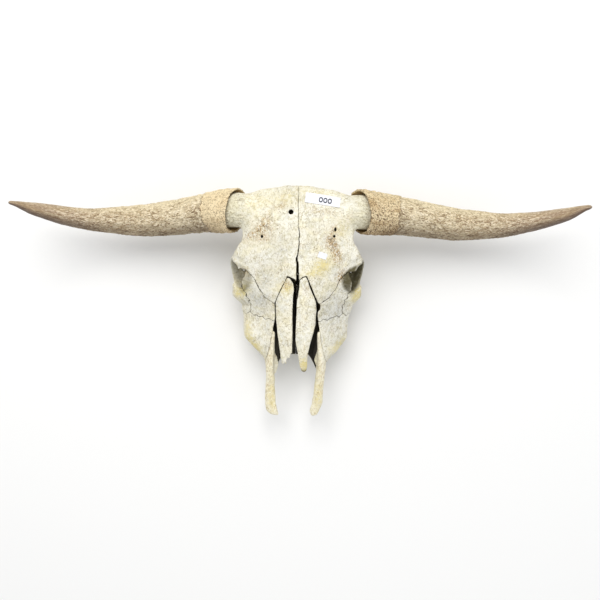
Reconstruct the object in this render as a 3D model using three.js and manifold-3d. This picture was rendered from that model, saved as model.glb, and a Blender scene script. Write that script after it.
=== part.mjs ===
// Longhorn steer skull without its lower jaw, resting on its last molars and jugular processes.
// Millimetres, +Z up, nose towards -Y, the animal's left towards +X, the floor at z = 0.
import * as THREE from "three";
import { mergeVertices } from "three/addons/utils/BufferGeometryUtils.js";
import Module from "manifold-3d";

const wasm = await Module();
wasm.setup();

// ---- Driving dimensions -------------------------------------------------------------------

const SUTURE = 0.5; // gap between two bones
const MIDLINE_GAP = 0.5; // half the gap between the left and right frontal and maxilla
const TOP = 260; // above everything
const UNDER = -60; // below everything

// Lines that run along the skull from nose to poll, as keys [y, x, z].
const ROOF = [
  [-164, 0, 118], [-136, 0, 126], [-90, 0, 137], [-20, 0, 151], [45, 0, 163], [96, 0, 174],
  [140, 0, 184], [190, 0, 191], [220, 0, 190], [232, 0, 185], [240, 0, 174],
];
const SHOULDER = [
  [-164, 53, 98], [-136, 49, 110], [-90, 47, 124], [-30, 48, 138], [0, 53, 145], [27, 72, 148], [50, 88, 154],
  [70, 94, 162], [96, 98, 170], [137, 80, 182], [190, 84, 188], [220, 78, 186], [232, 58, 182],
  [240, 26, 173],
];
const EDGE = [
  [-164, 59, 90], [-136, 64, 94], [-122, 70, 89], [-108, 84, 85], [-92, 98, 82], [-74, 110, 80],
  [-30, 112, 82], [-10, 118, 85], [12, 134, 91], [30, 138, 97], [60, 139, 118], [84, 136, 142],
  [96, 133, 151],
  [112, 124, 158], [137, 116, 163], [160, 117, 163], [195, 112, 160], [220, 104, 158],
  [232, 80, 162], [240, 34, 166],
];
const WALL = [
  [-164, 58, 84], [-136, 61, 78], [-100, 84, 68], [-70, 96, 62], [-10, 99, 56], [20, 92, 62], [44, 66, 92],
  [70, 50, 112], [96, 62, 122], [118, 70, 124], [150, 76, 120], [185, 92, 108], [205, 88, 106],
  [218, 76, 134], [232, 60, 152], [240, 28, 161],
];
const SIDE = [
  [-164, 54, 79], [-136, 55, 68], [-110, 66, 56], [-70, 82, 46], [-30, 85, 38], [0, 84, 33], [22, 74, 33],
  [40, 44, 46], [70, 34, 50], [110, 36, 52], [150, 52, 50], [185, 70, 54], [205, 60, 66],
  [218, 46, 120], [232, 36, 146], [240, 18, 158],
];
const FLOOR = [
  [-164, 0, 82], [-136, 0, 72], [-100, 0, 61], [-30, 0, 48], [22, 0, 42], [40, 0, 50], [70, 0, 60], [110, 0, 58],
  [150, 0, 54], [185, 0, 52], [205, 0, 60], [218, 0, 116], [232, 0, 144], [240, 0, 157],
];

// The nasal cavity, as keys [y, half-width, floor].
const CAVITY = [
  [-164, 52, 94], [-150, 51, 88], [-106, 50, 71], [-59, 48, 61], [-18, 43, 57], [0, 42, 56],
  [24, 30, 62], [36, 14, 88],
];
const BODY_FRONT = -150;
const BODY_BACK = 220;
const BODY_ROWS = 17;
const POLL_ROWS = [229, 236, 240];

// Nasal bones: thin arched plates over the nasal cavity.
const NASAL = {
  thickness: 4.5,
  sag: 13, // how far the outer edge lies below the ridge
  rows: 10,
  apex: 53,
  left: { inner: 0.5, tip: -147, tipX: 18 },
  right: { inner: 7.5, tip: -131, tipX: 26 },
  outer: [[-147, 21], [-128, 27], [-104, 32], [-70, 38], [-40, 42], [-5, 44], [12, 38], [53, 20]],
};

// Premaxillae: two long prongs, as keys [x, y, z, half-width, half-height].
const PREMAXILLA = {
  left: [
    [40, -244, 75, 5, 4], [43, -234, 77, 10, 5], [49, -212, 82, 10.5, 7], [52, -174, 91, 10, 10],
    [56, -135, 101, 8.5, 12], [53, -100, 113, 5, 10], [49, -66, 126, 3, 5],
  ],
  right: [
    [43, -244, 75, 7, 4], [49.5, -235, 77, 11.5, 5], [53.5, -212, 82, 11, 7], [54, -174, 91, 10, 10],
    [56, -135, 101, 8, 12], [53, -100, 113, 5, 10], [49, -66, 126, 3, 5],
  ],
};

// Horns: a core of bone grown from the frontal, and a hollow sheath over it. Keys [x, y, z, r].
const HORN = {
  right: [
    [80, 191, 170, 47], [131, 191, 149, 46], [163, 190, 136, 43.5], [214, 185, 120, 40],
    [264, 178, 108, 38], [332, 170.5, 101, 34], [419, 169, 106, 26], [486, 174, 126, 20.5],
    [552, 186, 160, 13.5], [596, 195, 194, 4],
  ],
  left: [
    [80, 192.5, 170, 47], [131, 192.5, 149, 46], [163, 190.5, 136, 44], [217, 187.5, 120, 40.5],
    [272, 181.5, 108, 38.5], [340, 174, 101, 35], [424, 172, 106, 26.5], [492, 179, 127, 20.5],
    [559, 193, 163, 13.5], [603, 206, 198, 4],
  ],
  rimCentre: [131, 192, 149],
  rimTilt: 26, // degrees that the rim leans outwards at its top
  rimTurn: 10, // degrees that its far side is turned towards the skull
  wall: 3,
  socketEnd: 0.58, // share of the keys that the socket takes
  rows: 14,
  sides: 14,
};
const CORE = [
  [78, 185, 148, 35], [104, 190.5, 154, 35.5], [131, 191.5, 149, 36], [163, 190, 136, 34],
  [214, 186, 120, 29.5], [264, 179, 109, 22], [292, 176, 105, 13],
];

// Paper slips on the left frontal: centre and size in plan, and their turn in degrees.
const LABELS = {
  label_large: { centre: [50.4, 211.8], size: [72.5, 20.5], turn: -8 },
  label_small: { centre: [52.1, 97.9], size: [18.5, 12], turn: -18 },
};
const LABEL_GAP = 0.3;
const LABEL_THICKNESS = 0.6;

// Cheek teeth, from the first premolar back: length, width, number of lobes.
const TEETH = [
  { length: 17, width: 16, lobes: 1 }, { length: 19, width: 18, lobes: 1 },
  { length: 19, width: 21, lobes: 1 }, { length: 25, width: 25, lobes: 2 },
  { length: 28, width: 26, lobes: 2 }, { length: 29, width: 24, lobes: 2 },
];
const TOOTH_ROW = { front: -112, frontX: 61, bowX: 69, backX: 66, crown: 22, slope: 0.165 };

// ---- Solids -------------------------------------------------------------------------------

function solid(geometry) {
  const bare = geometry.clone();
  bare.deleteAttribute("normal");
  bare.deleteAttribute("uv");
  const merged = mergeVertices(bare, 1e-4);
  return new wasm.Manifold(
    new wasm.Mesh({
      numProp: 3,
      vertProperties: new Float32Array(merged.attributes.position.array),
      triVerts: new Uint32Array(merged.index.array),
    }),
  );
}

// A closed surface through rings of equal length, each an array of Vector3.
function skin(rings) {
  const sides = rings[0].length;
  const points = rings.flat();
  const faces = [];
  for (let i = 0; i + 1 < rings.length; i++) {
    for (let j = 0; j < sides; j++) {
      const a = i * sides + j;
      const b = i * sides + ((j + 1) % sides);
      faces.push(a, b, b + sides, a, b + sides, a + sides);
    }
  }
  const cap = (ring, offset, flip) => {
    const [u, v] = flatAxes(ring);
    const outline = ring.map((p) => new THREE.Vector2(p.dot(u), p.dot(v)));
    for (const [a, b, c] of THREE.ShapeUtils.triangulateShape(outline, [])) {
      const turned = THREE.ShapeUtils.isClockWise(outline) !== flip;
      faces.push(...(turned ? [a, b, c] : [a, c, b]).map((k) => k + offset));
    }
  };
  cap(rings[0], 0, false);
  cap(rings.at(-1), (rings.length - 1) * sides, true);
  const geometry = new THREE.BufferGeometry().setFromPoints(points);
  geometry.setIndex(faces);
  const made = solid(geometry);
  if (made.volume() >= 0) return made;
  const turned = [];
  for (let i = 0; i < faces.length; i += 3) turned.push(faces[i], faces[i + 2], faces[i + 1]);
  geometry.setIndex(turned);
  return solid(geometry);
}

// Two axes across a flat ring.
function flatAxes(ring) {
  const normal = new THREE.Vector3();
  ring.forEach((p, i) => normal.add(p.clone().cross(ring[(i + 1) % ring.length])));
  normal.normalize();
  const u = new THREE.Vector3(1, 0, 0);
  if (Math.abs(normal.x) > 0.9) u.set(0, 1, 0);
  u.addScaledVector(normal, -u.dot(normal)).normalize();
  return [u, normal.clone().cross(u)];
}

// The value of keys [t, ...values] at t, on a smooth curve that never overshoots.
function along(keys, t) {
  const last = keys.length - 1;
  if (t <= keys[0][0]) return keys[0].slice(1);
  if (t >= keys[last][0]) return keys[last].slice(1);
  let i = 0;
  while (keys[i + 1][0] < t) i++;
  const span = keys[i + 1][0] - keys[i][0];
  const s = (t - keys[i][0]) / span;
  return keys[i].slice(1).map((value, k) => {
    const slope = (j) => {
      if (j === 0 || j === last) return 0;
      const before = (keys[j][k + 1] - keys[j - 1][k + 1]) / (keys[j][0] - keys[j - 1][0]);
      const after = (keys[j + 1][k + 1] - keys[j][k + 1]) / (keys[j + 1][0] - keys[j][0]);
      return before * after > 0 ? (2 * before * after) / (before + after) : 0;
    };
    const next = keys[i + 1][k + 1];
    const h = s * s * (3 - 2 * s);
    return (
      value * (1 - h) + next * h + span * s * (1 - s) * ((1 - s) * slope(i) - s * slope(i + 1))
    );
  });
}

// A tube of oval section along keys [x, y, z, half-width, half-height].
function tube(keys, rows = 10, sides = 12) {
  const curve = new THREE.CatmullRomCurve3(keys.map((k) => new THREE.Vector3(...k)));
  const rings = [];
  for (let i = 0; i <= rows; i++) {
    const t = i / rows;
    const at = t * (keys.length - 1);
    const k = Math.min(Math.floor(at), keys.length - 2);
    const wide = THREE.MathUtils.lerp(keys[k][3], keys[k + 1][3], at - k);
    const high = THREE.MathUtils.lerp(keys[k].at(-1), keys[k + 1].at(-1), at - k);
    rings.push(oval(curve.getPoint(t), curve.getTangent(t), wide, high, sides));
  }
  return skin(rings);
}

// A stack of level ovals along keys [x, y, z, half-width in x, half-length in y].
function stack(keys, sides = 8) {
  return skin(
    keys.map(([x, y, z, wide, long]) =>
      Array.from({ length: sides }, (_, j) => {
        const a = (2 * Math.PI * (j + 0.5)) / sides;
        return new THREE.Vector3(x + wide * Math.cos(a), y + long * Math.sin(a), z);
      }),
    ),
  );
}

// A ring across a direction: `high` lies as near to vertical as it can.
function oval(centre, direction, wide, high, sides) {
  const across = new THREE.Vector3().crossVectors(new THREE.Vector3(0, 0, 1), direction);
  if (across.length() < 0.2) across.set(1, 0, 0);
  across.normalize();
  const up = new THREE.Vector3().crossVectors(direction, across).normalize();
  return Array.from({ length: sides }, (_, j) => {
    const a = (2 * Math.PI * j) / sides;
    return centre
      .clone()
      .addScaledVector(across, wide * Math.cos(a))
      .addScaledVector(up, high * Math.sin(a));
  });
}

function ball(centre, radii, turn = [0, 0, 0], detail = 8) {
  const geometry = new THREE.SphereGeometry(1, detail, Math.round(detail * 0.6));
  const degrees = turn.map(THREE.MathUtils.degToRad);
  geometry.scale(...radii);
  geometry.applyMatrix4(new THREE.Matrix4().makeRotationFromEuler(new THREE.Euler(...degrees)));
  geometry.translate(...centre);
  return solid(geometry);
}

function block(low, high) {
  const size = high.map((value, k) => value - low[k]);
  const geometry = new THREE.BoxGeometry(...size);
  geometry.translate(...low.map((value, k) => value + size[k] / 2));
  return solid(geometry);
}

// An upright prism over a plan outline [x, y], grown outwards by `grow`.
function prism(outline, bottom, top, grow = 0) {
  const shape = new THREE.Shape(grownOutline(outline, grow));
  const geometry = new THREE.ExtrudeGeometry(shape, {
    depth: top - bottom + 2 * grow,
    bevelEnabled: false,
  });
  geometry.translate(0, 0, bottom - grow);
  return solid(geometry);
}

function grownOutline(outline, grow) {
  const points = outline.map(([x, y]) => new THREE.Vector2(x, y));
  if (THREE.ShapeUtils.isClockWise(points)) points.reverse();
  return points.map((p, i) => {
    const before = points.at(i - 1);
    const after = points[(i + 1) % points.length];
    const normalOf = (a, b) => new THREE.Vector2(b.y - a.y, a.x - b.x).normalize();
    const n1 = normalOf(before, p);
    const n2 = normalOf(p, after);
    const mitre = n1.clone().add(n2).normalize();
    return p.clone().addScaledVector(mitre, grow / Math.max(mitre.dot(n1), 0.35));
  });
}

const mirror = (made) => made.scale([-1, 1, 1]);
const both = (made) => made.add(mirror(made));
const joined = (list) => list.reduce((sum, one) => sum.add(one));

// ---- Bone ---------------------------------------------------------------------------------

function bodyRing(y) {
  const half = [ROOF, SHOULDER, EDGE, WALL, SIDE, FLOOR].map((line) => along(line, y));
  const outline = [...half, ...half.slice(1, -1).reverse().map(([x, z]) => [-x, z])];
  const curve = new THREE.CatmullRomCurve3(
    outline.map(([x, z]) => new THREE.Vector3(x, y, z)),
    true,
    "centripetal",
  );
  const steps = outline.length * 2;
  return Array.from({ length: steps }, (_, j) => curve.getPoint(j / steps));
}

function body() {
  const rings = [];
  for (let i = 0; i <= BODY_ROWS; i++) {
    rings.push(bodyRing(THREE.MathUtils.lerp(BODY_FRONT, BODY_BACK, i / BODY_ROWS)));
  }
  return skin([...rings, ...POLL_ROWS.map(bodyRing)]);
}

function nasalCavity() {
  const rings = [];
  for (let i = 0; i <= 8; i++) {
    const y = THREE.MathUtils.lerp(-164, 36, i / 8);
    const [wide, low] = along(CAVITY, y);
    const half = [[wide * 0.7, low], [wide, low + 14], [wide, TOP]];
    const outline = [...half, ...half.toReversed().map(([x, z]) => [-x, z])];
    rings.push(outline.map(([x, z]) => new THREE.Vector3(x, y, z)));
  }
  return skin(rings);
}

function hollows() {
  const fissure = prism([[0, -112], [26, -116], [44, -136], [48, -170], [0, -170]], UNDER, 100);
  const orbit = tube([[165, 45, 137, 36, 34], [112, 62.5, 121, 31, 29], [74, 75, 110, 14, 14]], 3, 12);
  const behindOrbit = ball([98, 104, 118], [24, 32, 24]);
  const choana = ball([0, 62, 50], [21, 46, 16]);
  const hole = new THREE.CylinderGeometry(3.5, 3.5, 60, 10);
  hole.rotateX(Math.PI / 2);
  hole.translate(-14.7, 186, 200);
  return joined([both(joined([fissure, orbit, behindOrbit])), nasalCavity(), choana, solid(hole)]);
}

function foramenMagnum() {
  return ball([0, 216, 84], [19, 44, 17]);
}

function cheekArch() {
  const arch = tube(
    [[118, 10, 92, 10, 16], [126, 40, 86, 8, 13], [128, 72, 83, 7, 11], [121, 104, 82, 7, 10],
      [108, 130, 83, 9, 9], [84, 152, 88, 12, 11]],
    8, 6,
  );
  const tubercle = ball([82, 148, 80], [32, 12, 12]);
  const bar = stack([[122, 104, 160, 8, 12], [130, 99, 142, 9, 9], [133, 88, 118, 8, 8],
    [129, 70, 86, 9, 14]]);
  const rim = tube([[106, 64, 119.5, 35, 33], [121, 59, 124, 38, 36], [130, 56.5, 126.5, 36.5, 34.5]], 2, 12);
  return joined([arch, tubercle, bar, rim]);
}

function baseOfSkull() {
  const condyle = ball([25, 212, 67], [18, 22, 22], [20, 0, -18], 10);
  const jugular = stack([[62, 192, 92, 22, 15], [60, 190, 62, 17, 13], [57, 186, 34, 12, 11],
    [53, 180, 10, 8, 10], [51, 177, -2, 6, 8]]);
  const bulla = ball([46, 158, 42], [13, 17, 18]);
  const mastoid = ball([86, 190, 98], [19, 15, 34], [0, 12, 0]);
  const pterygoid = tube(
    [[26, 34, 62, 5, 12], [27, 58, 48, 4, 15], [25, 84, 44, 4, 15], [24, 100, 52, 4, 8]], 5, 6,
  );
  const nuchalKnob = ball([0, 214, 142], [17, 10, 14]);
  return both(joined([condyle, jugular, bulla, mastoid, pterygoid])).add(nuchalKnob);
}

function toothRow() {
  const whole = TEETH.reduce((sum, tooth) => sum + tooth.length, 0);
  const lobes = [];
  let done = 0;
  for (const tooth of TEETH) {
    const pitch = tooth.length / tooth.lobes;
    for (let i = 0; i < tooth.lobes; i++) {
      const middle = done + pitch * (i + 0.5);
      const t = middle / whole;
      const x = THREE.MathUtils.lerp(
        THREE.MathUtils.lerp(TOOTH_ROW.frontX, TOOTH_ROW.bowX, t),
        THREE.MathUtils.lerp(TOOTH_ROW.bowX, TOOTH_ROW.backX, t),
        t,
      );
      const y = TOOTH_ROW.front + middle;
      const biting = (TOOTH_ROW.front + whole - y) * TOOTH_ROW.slope - 1.5;
      lobes.push(toothLobe(x, y, biting, pitch * 0.66, tooth.width / 2));
    }
    done += tooth.length;
  }
  return joined(lobes);
}

function toothLobe(x, y, bottom, halfLength, halfWidth) {
  const top = bottom + TOOTH_ROW.crown + 14;
  const wide = halfWidth * 1.1;
  return stack([[x, y, bottom, wide, halfLength], [x, y, top, wide * 0.8, halfLength]], 6);
}

// ---- Horns --------------------------------------------------------------------------------

function hornSheath(side) {
  const keys = HORN[side];
  const narrowed = keys.map(([x, y, z, r]) => [x, y, z, r - HORN.wall]);
  const outside = roundTube(keys, 1, HORN.rows);
  const socket = roundTube(narrowed, HORN.socketEnd, HORN.rows / 2);
  return outside.subtract(socket).subtract(insideRim());
}

// A round tube along the first part of its keys [x, y, z, r].
function roundTube(keys, end, rows) {
  const curve = new THREE.CatmullRomCurve3(keys.map((k) => new THREE.Vector3(...k)));
  const radii = keys.map((k, i) => [i / (keys.length - 1), k[3]]);
  const rings = [];
  for (let i = 0; i <= rows; i++) {
    const t = (end * i) / rows;
    const radius = along(radii, t)[0];
    rings.push(oval(curve.getPoint(t), curve.getTangent(t), radius, radius, HORN.sides));
  }
  return skin(rings);
}

// Everything on the skull's side of the sheath's slanting rim.
function insideRim() {
  const size = 400;
  const geometry = new THREE.BoxGeometry(size, size, size);
  geometry.translate(-size / 2, 0, 0);
  geometry.rotateY(THREE.MathUtils.degToRad(HORN.rimTilt));
  geometry.rotateZ(THREE.MathUtils.degToRad(HORN.rimTurn));
  geometry.translate(...HORN.rimCentre);
  return solid(geometry);
}

function hornCore(grow) {
  return roundTube(CORE.map(([x, y, z, r]) => [x, y, z, r + grow]), 1, 7);
}

// ---- Nasal bones --------------------------------------------------------------------------

// From the midline edge to the outer edge of a nasal bone at y.
function nasalReach(sizes, y) {
  const nearTip = Math.min(1, (y - sizes.tip) / 22);
  const nearApex = Math.min(1, (NASAL.apex - y) / 26);
  const outer = along(NASAL.outer, y)[0];
  const inner = sizes.inner + (1 - nearTip) * (sizes.tipX - 6 - sizes.inner) + (1 - nearApex) * 15;
  return [inner, Math.max(outer, inner + 6)];
}

// The room that a nasal bone takes, in plan.
function nasalRoom(sizes) {
  const { rows } = NASAL;
  const ys = Array.from({ length: rows + 1 }, (_, i) =>
    THREE.MathUtils.lerp(sizes.tip, NASAL.apex, i / rows),
  );
  const outer = ys.map((y) => [nasalReach(sizes, y)[1], y]);
  const inner = ys.map((y) => [nasalReach(sizes, y)[0], y]).reverse();
  return prism([...outer, ...inner], 100, TOP, SUTURE);
}

function nasalBone(sizes) {
  const rings = [];
  for (let i = 0; i <= NASAL.rows; i++) {
    const y = THREE.MathUtils.lerp(sizes.tip, NASAL.apex, i / NASAL.rows);
    const [inner, outer] = nasalReach(sizes, y);
    const reach = outer - inner;
    const [, z] = along(ROOF, y);
    const drop = (x) => NASAL.sag * (x / 44) ** 2;
    const upper = [0, 0.3, 0.65, 1].map((s) => {
      const x = inner + reach * s;
      return new THREE.Vector3(x, y, z - drop(x));
    });
    const lower = upper.map((p) => p.clone().setZ(p.z - NASAL.thickness)).reverse();
    rings.push([...upper, ...lower]);
  }
  return skin(rings);
}

// ---- Premaxillae --------------------------------------------------------------------------

function premaxilla(side, grow) {
  const keys = PREMAXILLA[side].map(([x, y, z, wide, high]) => [x, y, z, wide + grow, high + grow]);
  return tube(keys, 12, 8);
}

// ---- The bones, parted along their sutures -------------------------------------------------

// Sutures of one side, in plan [x, y].
const FRONTO_LACRIMAL = [[48, -2], [68, 10], [78, 26], [92, 51], [107, 66]];
const LACRIMAL_MAXILLARY = [[100, -22], [88, -28], [74, -32], [62, -37], [34, -36]];
const ZYGOMATIC_LACRIMAL = [[118, 33], [108, 14], [100, 3], [100, -22]];

// The plan outline of each bone and the height it reaches down to.
const REGIONS = {
  frontal: {
    outline: [[MIDLINE_GAP, 36], [20, 54], ...FRONTO_LACRIMAL, [150, 72], [150, 260],
      [MIDLINE_GAP, 260]],
    bottom: 114,
    rise: 11, // degrees that its lower edge climbs towards the poll
  },
  lacrimal: {
    outline: [[34, 2], ...FRONTO_LACRIMAL, ...ZYGOMATIC_LACRIMAL, ...LACRIMAL_MAXILLARY.slice(1)],
    bottom: 100,
    rise: 0,
  },
  zygomatic: {
    outline: [...ZYGOMATIC_LACRIMAL, [118, -34], [160, -20], [160, 112], [100, 112], [100, 70],
      [112, 58]],
    bottom: 60,
    rise: 0,
  },
  temporal: {
    outline: [[54, 104], [150, 104], [150, 204], [76, 204], [66, 172], [54, 166]],
    bottom: 56,
    rise: 0,
  },
};

function region({ outline, bottom, rise }, grow) {
  const upright = prism(outline, bottom, TOP, grow);
  if (rise === 0) return upright;
  const wedge = block([-400, -400, -200], [400, 400, 0])
    .rotate([rise, 0, 0])
    .translate([0, 60, bottom - grow]);
  return prism(outline, bottom - 60, TOP, grow).subtract(wedge);
}

function parted(whole) {
  const bones = {};
  let rest = whole;
  for (const [name, sizes] of Object.entries(REGIONS)) {
    const exact = region(sizes, 0);
    bones[`${name}_left`] = largest(rest.intersect(exact));
    bones[`${name}_right`] = largest(rest.intersect(mirror(exact)));
    rest = rest.subtract(both(region(sizes, SUTURE)));
  }
  const face = block([MIDLINE_GAP, -200, UNDER], [200, 40, TOP]);
  const prongs = premaxilla("left", SUTURE).add(mirror(premaxilla("right", SUTURE)));
  bones.maxilla_left = largest(rest.intersect(face).subtract(prongs));
  bones.maxilla_right = largest(rest.intersect(mirror(face)).subtract(prongs));
  const middle = block([-200, 40 + SUTURE, UNDER], [200, 166, TOP]);
  const back = block([-200, 166 + SUTURE, UNDER], [200, 300, TOP]);
  const cores = both(hornCore(SUTURE));
  bones.sphenoid_palatine = largest(rest.intersect(middle));
  bones.occipital = largest(rest.intersect(back).subtract(cores));
  for (const side of ["left", "right"]) {
    const core = side === "left" ? hornCore(0) : mirror(hornCore(0));
    bones[`frontal_${side}`] = largest(bones[`frontal_${side}`].add(core));
    bones[`temporal_${side}`] = largest(bones[`temporal_${side}`].subtract(cores));
  }
  return bones;
}

function largest(made) {
  return made.decompose().sort((a, b) => b.volume() - a.volume())[0];
}

function buildBones() {
  const nasalRooms = nasalRoom(NASAL.left).add(mirror(nasalRoom(NASAL.right)));
  const whole = joined([body(), both(cheekArch())])
    .subtract(hollows())
    .add(baseOfSkull())
    .subtract(foramenMagnum())
    .add(both(toothRow()))
    .subtract(nasalRooms)
    .subtract(block([-200, -200, UNDER], [200, 300, 0]));
  const bones = parted(whole);
  for (const side of ["left", "right"]) {
    const placed = (made) => (side === "left" ? made : mirror(made));
    bones[`nasal_${side}`] = placed(nasalBone(NASAL[side]));
    bones[`premaxilla_${side}`] = placed(premaxilla(side, 0));
    bones[`horn_sheath_${side}`] = placed(hornSheath(side));
  }
  const forehead = joined([body(), both(hornCore(0))]);
  for (const [name, sizes] of Object.entries(LABELS)) {
    bones[name] = label(forehead, sizes);
  }
  return bones;
}

// A thin slip of paper that follows the forehead.
function label(forehead, { centre, size, turn }) {
  const slip = block([-size[0] / 2, -size[1] / 2, 100], [size[0] / 2, size[1] / 2, TOP])
    .rotate([0, 0, turn])
    .translate([...centre, 0]);
  const lifted = forehead.translate([0, 0, LABEL_GAP + LABEL_THICKNESS]).intersect(slip);
  return largest(lifted.subtract(forehead.translate([0, 0, LABEL_GAP])));
}

// ---- Scene --------------------------------------------------------------------------------

const COLOURS = { horn_sheath: 0xb79a74, label: 0xffffff };
const BONE_COLOUR = 0xe2dcc6;

function materialOf(name) {
  const key = Object.keys(COLOURS).find((start) => name.startsWith(start));
  return new THREE.MeshStandardMaterial({ color: COLOURS[key] ?? BONE_COLOUR, roughness: 0.85 });
}

// The middle of the whole outline stands at the origin.
const CENTRE = [-3.6, 2.6, 0];

const skull = new THREE.Group();
for (const [name, made] of Object.entries(buildBones())) {
  const { numProp, vertProperties, triVerts } = made.translate(CENTRE).getMesh();
  const geometry = new THREE.BufferGeometry();
  const buffer = new THREE.InterleavedBuffer(vertProperties, numProp);
  geometry.setAttribute("position", new THREE.InterleavedBufferAttribute(buffer, 3, 0));
  geometry.setIndex(new THREE.BufferAttribute(triVerts, 1));
  const mesh = new THREE.Mesh(geometry, materialOf(name));
  mesh.name = name;
  skull.add(mesh);
}

export default skull;
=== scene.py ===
"""Longhorn steer skull without its lower jaw, lying on its last molars and jugular processes.

Sizes in the tables are millimetres about the skull's midline, y towards the poll, z up from
the floor. CENTRE moves them to the frame of the CAD model, and the meshes are in metres.
"""
import itertools
import math

import bpy
import numpy as np
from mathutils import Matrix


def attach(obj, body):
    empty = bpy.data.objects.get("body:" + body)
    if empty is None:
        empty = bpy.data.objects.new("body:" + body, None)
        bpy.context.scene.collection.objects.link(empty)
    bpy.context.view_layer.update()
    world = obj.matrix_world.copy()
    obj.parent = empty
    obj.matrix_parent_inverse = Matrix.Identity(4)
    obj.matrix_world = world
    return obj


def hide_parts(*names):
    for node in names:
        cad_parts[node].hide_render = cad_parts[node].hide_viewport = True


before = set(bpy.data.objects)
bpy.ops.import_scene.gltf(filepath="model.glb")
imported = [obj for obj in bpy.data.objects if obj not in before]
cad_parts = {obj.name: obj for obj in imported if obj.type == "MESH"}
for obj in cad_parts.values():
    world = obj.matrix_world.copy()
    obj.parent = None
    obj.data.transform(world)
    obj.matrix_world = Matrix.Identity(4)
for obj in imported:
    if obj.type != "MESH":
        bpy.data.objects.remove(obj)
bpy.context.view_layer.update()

import openvdb as vdb
from mathutils import Euler, Vector

CENTRE = np.array([-3.6, 2.6, 0.0])
CELL = 1.2  # size of a cell of the distance fields
LOW = np.array([-156.0, -252.0, -6.0])
HIGH = np.array([156.0, 252.0, 204.0])
GAP = 0.4  # between two bones
FAR = 30.0  # distance far from any surface
TINY = 1e-4  # keeps divisors from nought

# ---- Lines along the skull, keys [y, x, z] ------------------------------------------------

ROOF = [
    [-164, 0, 118], [-136, 0, 126], [-90, 0, 137], [-20, 0, 151], [45, 0, 163], [96, 0, 174],
    [140, 0, 184], [190, 0, 191], [221, 0, 190], [234, 0, 185], [242, 0, 174],
]
SHOULDER = [
    [-164, 54, 98], [-136, 50, 110], [-90, 47, 124], [-30, 48, 138], [0, 53, 145], [27, 72, 148],
    [50, 88, 154], [70, 94, 162], [96, 98, 170], [137, 80, 182], [190, 84, 188], [221, 78, 186],
    [234, 58, 182], [242, 26, 173],
]
EDGE = [
    [-164, 58, 90], [-136, 63.5, 94], [-121, 71, 88], [-112, 80, 86], [-104, 88, 84],
    [-92, 97.5, 82], [-74, 109.5, 80], [-30, 112.5, 82], [-10, 119, 85], [12, 134, 91],
    [30, 139, 97], [60, 140, 118], [84, 136, 142], [96, 132, 151], [112, 123, 158], [137, 116, 163],
    [160, 117, 163], [195, 112, 160], [221, 104, 158], [234, 80, 162], [242, 34, 166],
]
WALL = [
    [-164, 57, 84], [-136, 61, 78], [-104, 84, 69], [-70, 96, 62], [-10, 99, 56], [20, 92, 62],
    [44, 66, 92], [70, 50, 112], [96, 62, 122], [118, 70, 124], [150, 76, 120], [185, 92, 108],
    [205, 88, 106], [218, 76, 134], [234, 60, 152], [242, 28, 161],
]
SIDE = [
    [-164, 53, 79], [-136, 54, 68], [-110, 66, 56], [-70, 82, 46], [-30, 85, 38], [0, 84, 33],
    [22, 74, 33], [40, 44, 46], [70, 34, 50], [110, 36, 52], [150, 52, 50], [185, 70, 54],
    [205, 60, 66], [218, 46, 120], [234, 36, 146], [242, 18, 158],
]
FLOOR = [
    [-164, 0, 82], [-136, 0, 72], [-100, 0, 61], [-30, 0, 48], [22, 0, 42], [40, 0, 50], [70, 0, 60],
    [110, 0, 58], [150, 0, 54], [185, 0, 52], [205, 0, 60], [218, 0, 116], [234, 0, 144], [242, 0, 157],
]
BODY_FRONT, BODY_BACK = -160, 242

# The nasal cavity, keys [y, half-width, floor].
CAVITY = [
    [-170, 52, 96], [-150, 51, 88], [-106, 50.5, 71], [-59, 50, 61], [-35, 46, 57], [-18, 44.5, 56],
    [0, 44, 56], [24, 32, 62], [36, 18, 86],
]


# ---- Numbers ------------------------------------------------------------------------------


def ease(x):
    """Smooth step from 0 to 1."""
    x = np.clip(x, 0, 1)
    return x * x * (3 - 2 * x)


def along(keys, ts):
    """Values of keys [t, ...] at ts on a smooth curve that never overshoots."""
    k = np.array(keys, float)
    t, v = k[:, 0], k[:, 1:]
    slope = np.diff(v, axis=0) / np.diff(t)[:, None]
    m = np.zeros_like(v)
    prod = slope[:-1] * slope[1:]
    total = slope[:-1] + slope[1:]
    m[1:-1] = np.where(prod > 0, 2 * prod / np.where(total == 0, 1, total), 0)
    ts = np.clip(np.atleast_1d(np.asarray(ts, float)), t[0], t[-1])
    i = np.clip(np.searchsorted(t, ts, side="right") - 1, 0, len(t) - 2)
    h = np.diff(t)[i, None]
    s = ((ts - t[i]) / h[:, 0])[:, None]
    mixed = v[i] * (1 - ease(s)) + v[i + 1] * ease(s)
    return mixed + h * s * (1 - s) * ((1 - s) * m[i] - s * m[i + 1])


def columns(keys, ts):
    """The values of `along`, each in an array of its own with the shape of ts."""
    return [value.reshape(np.shape(ts)) for value in along(keys, np.ravel(ts)).T]


def lattice(shape, size, seed, step=CELL):
    """Smooth noise in -1..1 on a grid of this shape, with features `size` millimetres wide."""
    rng = np.random.default_rng(seed)
    sizes = np.broadcast_to(np.asarray(size, float), (len(shape),))
    many = [int(round((n - 1) * step, 3) / c) + 3 for n, c in zip(shape, sizes)]
    coarse = rng.uniform(-1, 1, many).astype(np.float32)
    for axis, (n, c) in enumerate(zip(shape, sizes)):
        at = np.arange(n) * step / c
        i = at.astype(int)
        moved = np.moveaxis(coarse, axis, 0)
        f = ease((at - i).astype(np.float32)).reshape(-1, *([1] * (moved.ndim - 1)))
        coarse = np.moveaxis(moved[i] * (1 - f) + moved[i + 1] * f, 0, axis)
    return coarse


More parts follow.
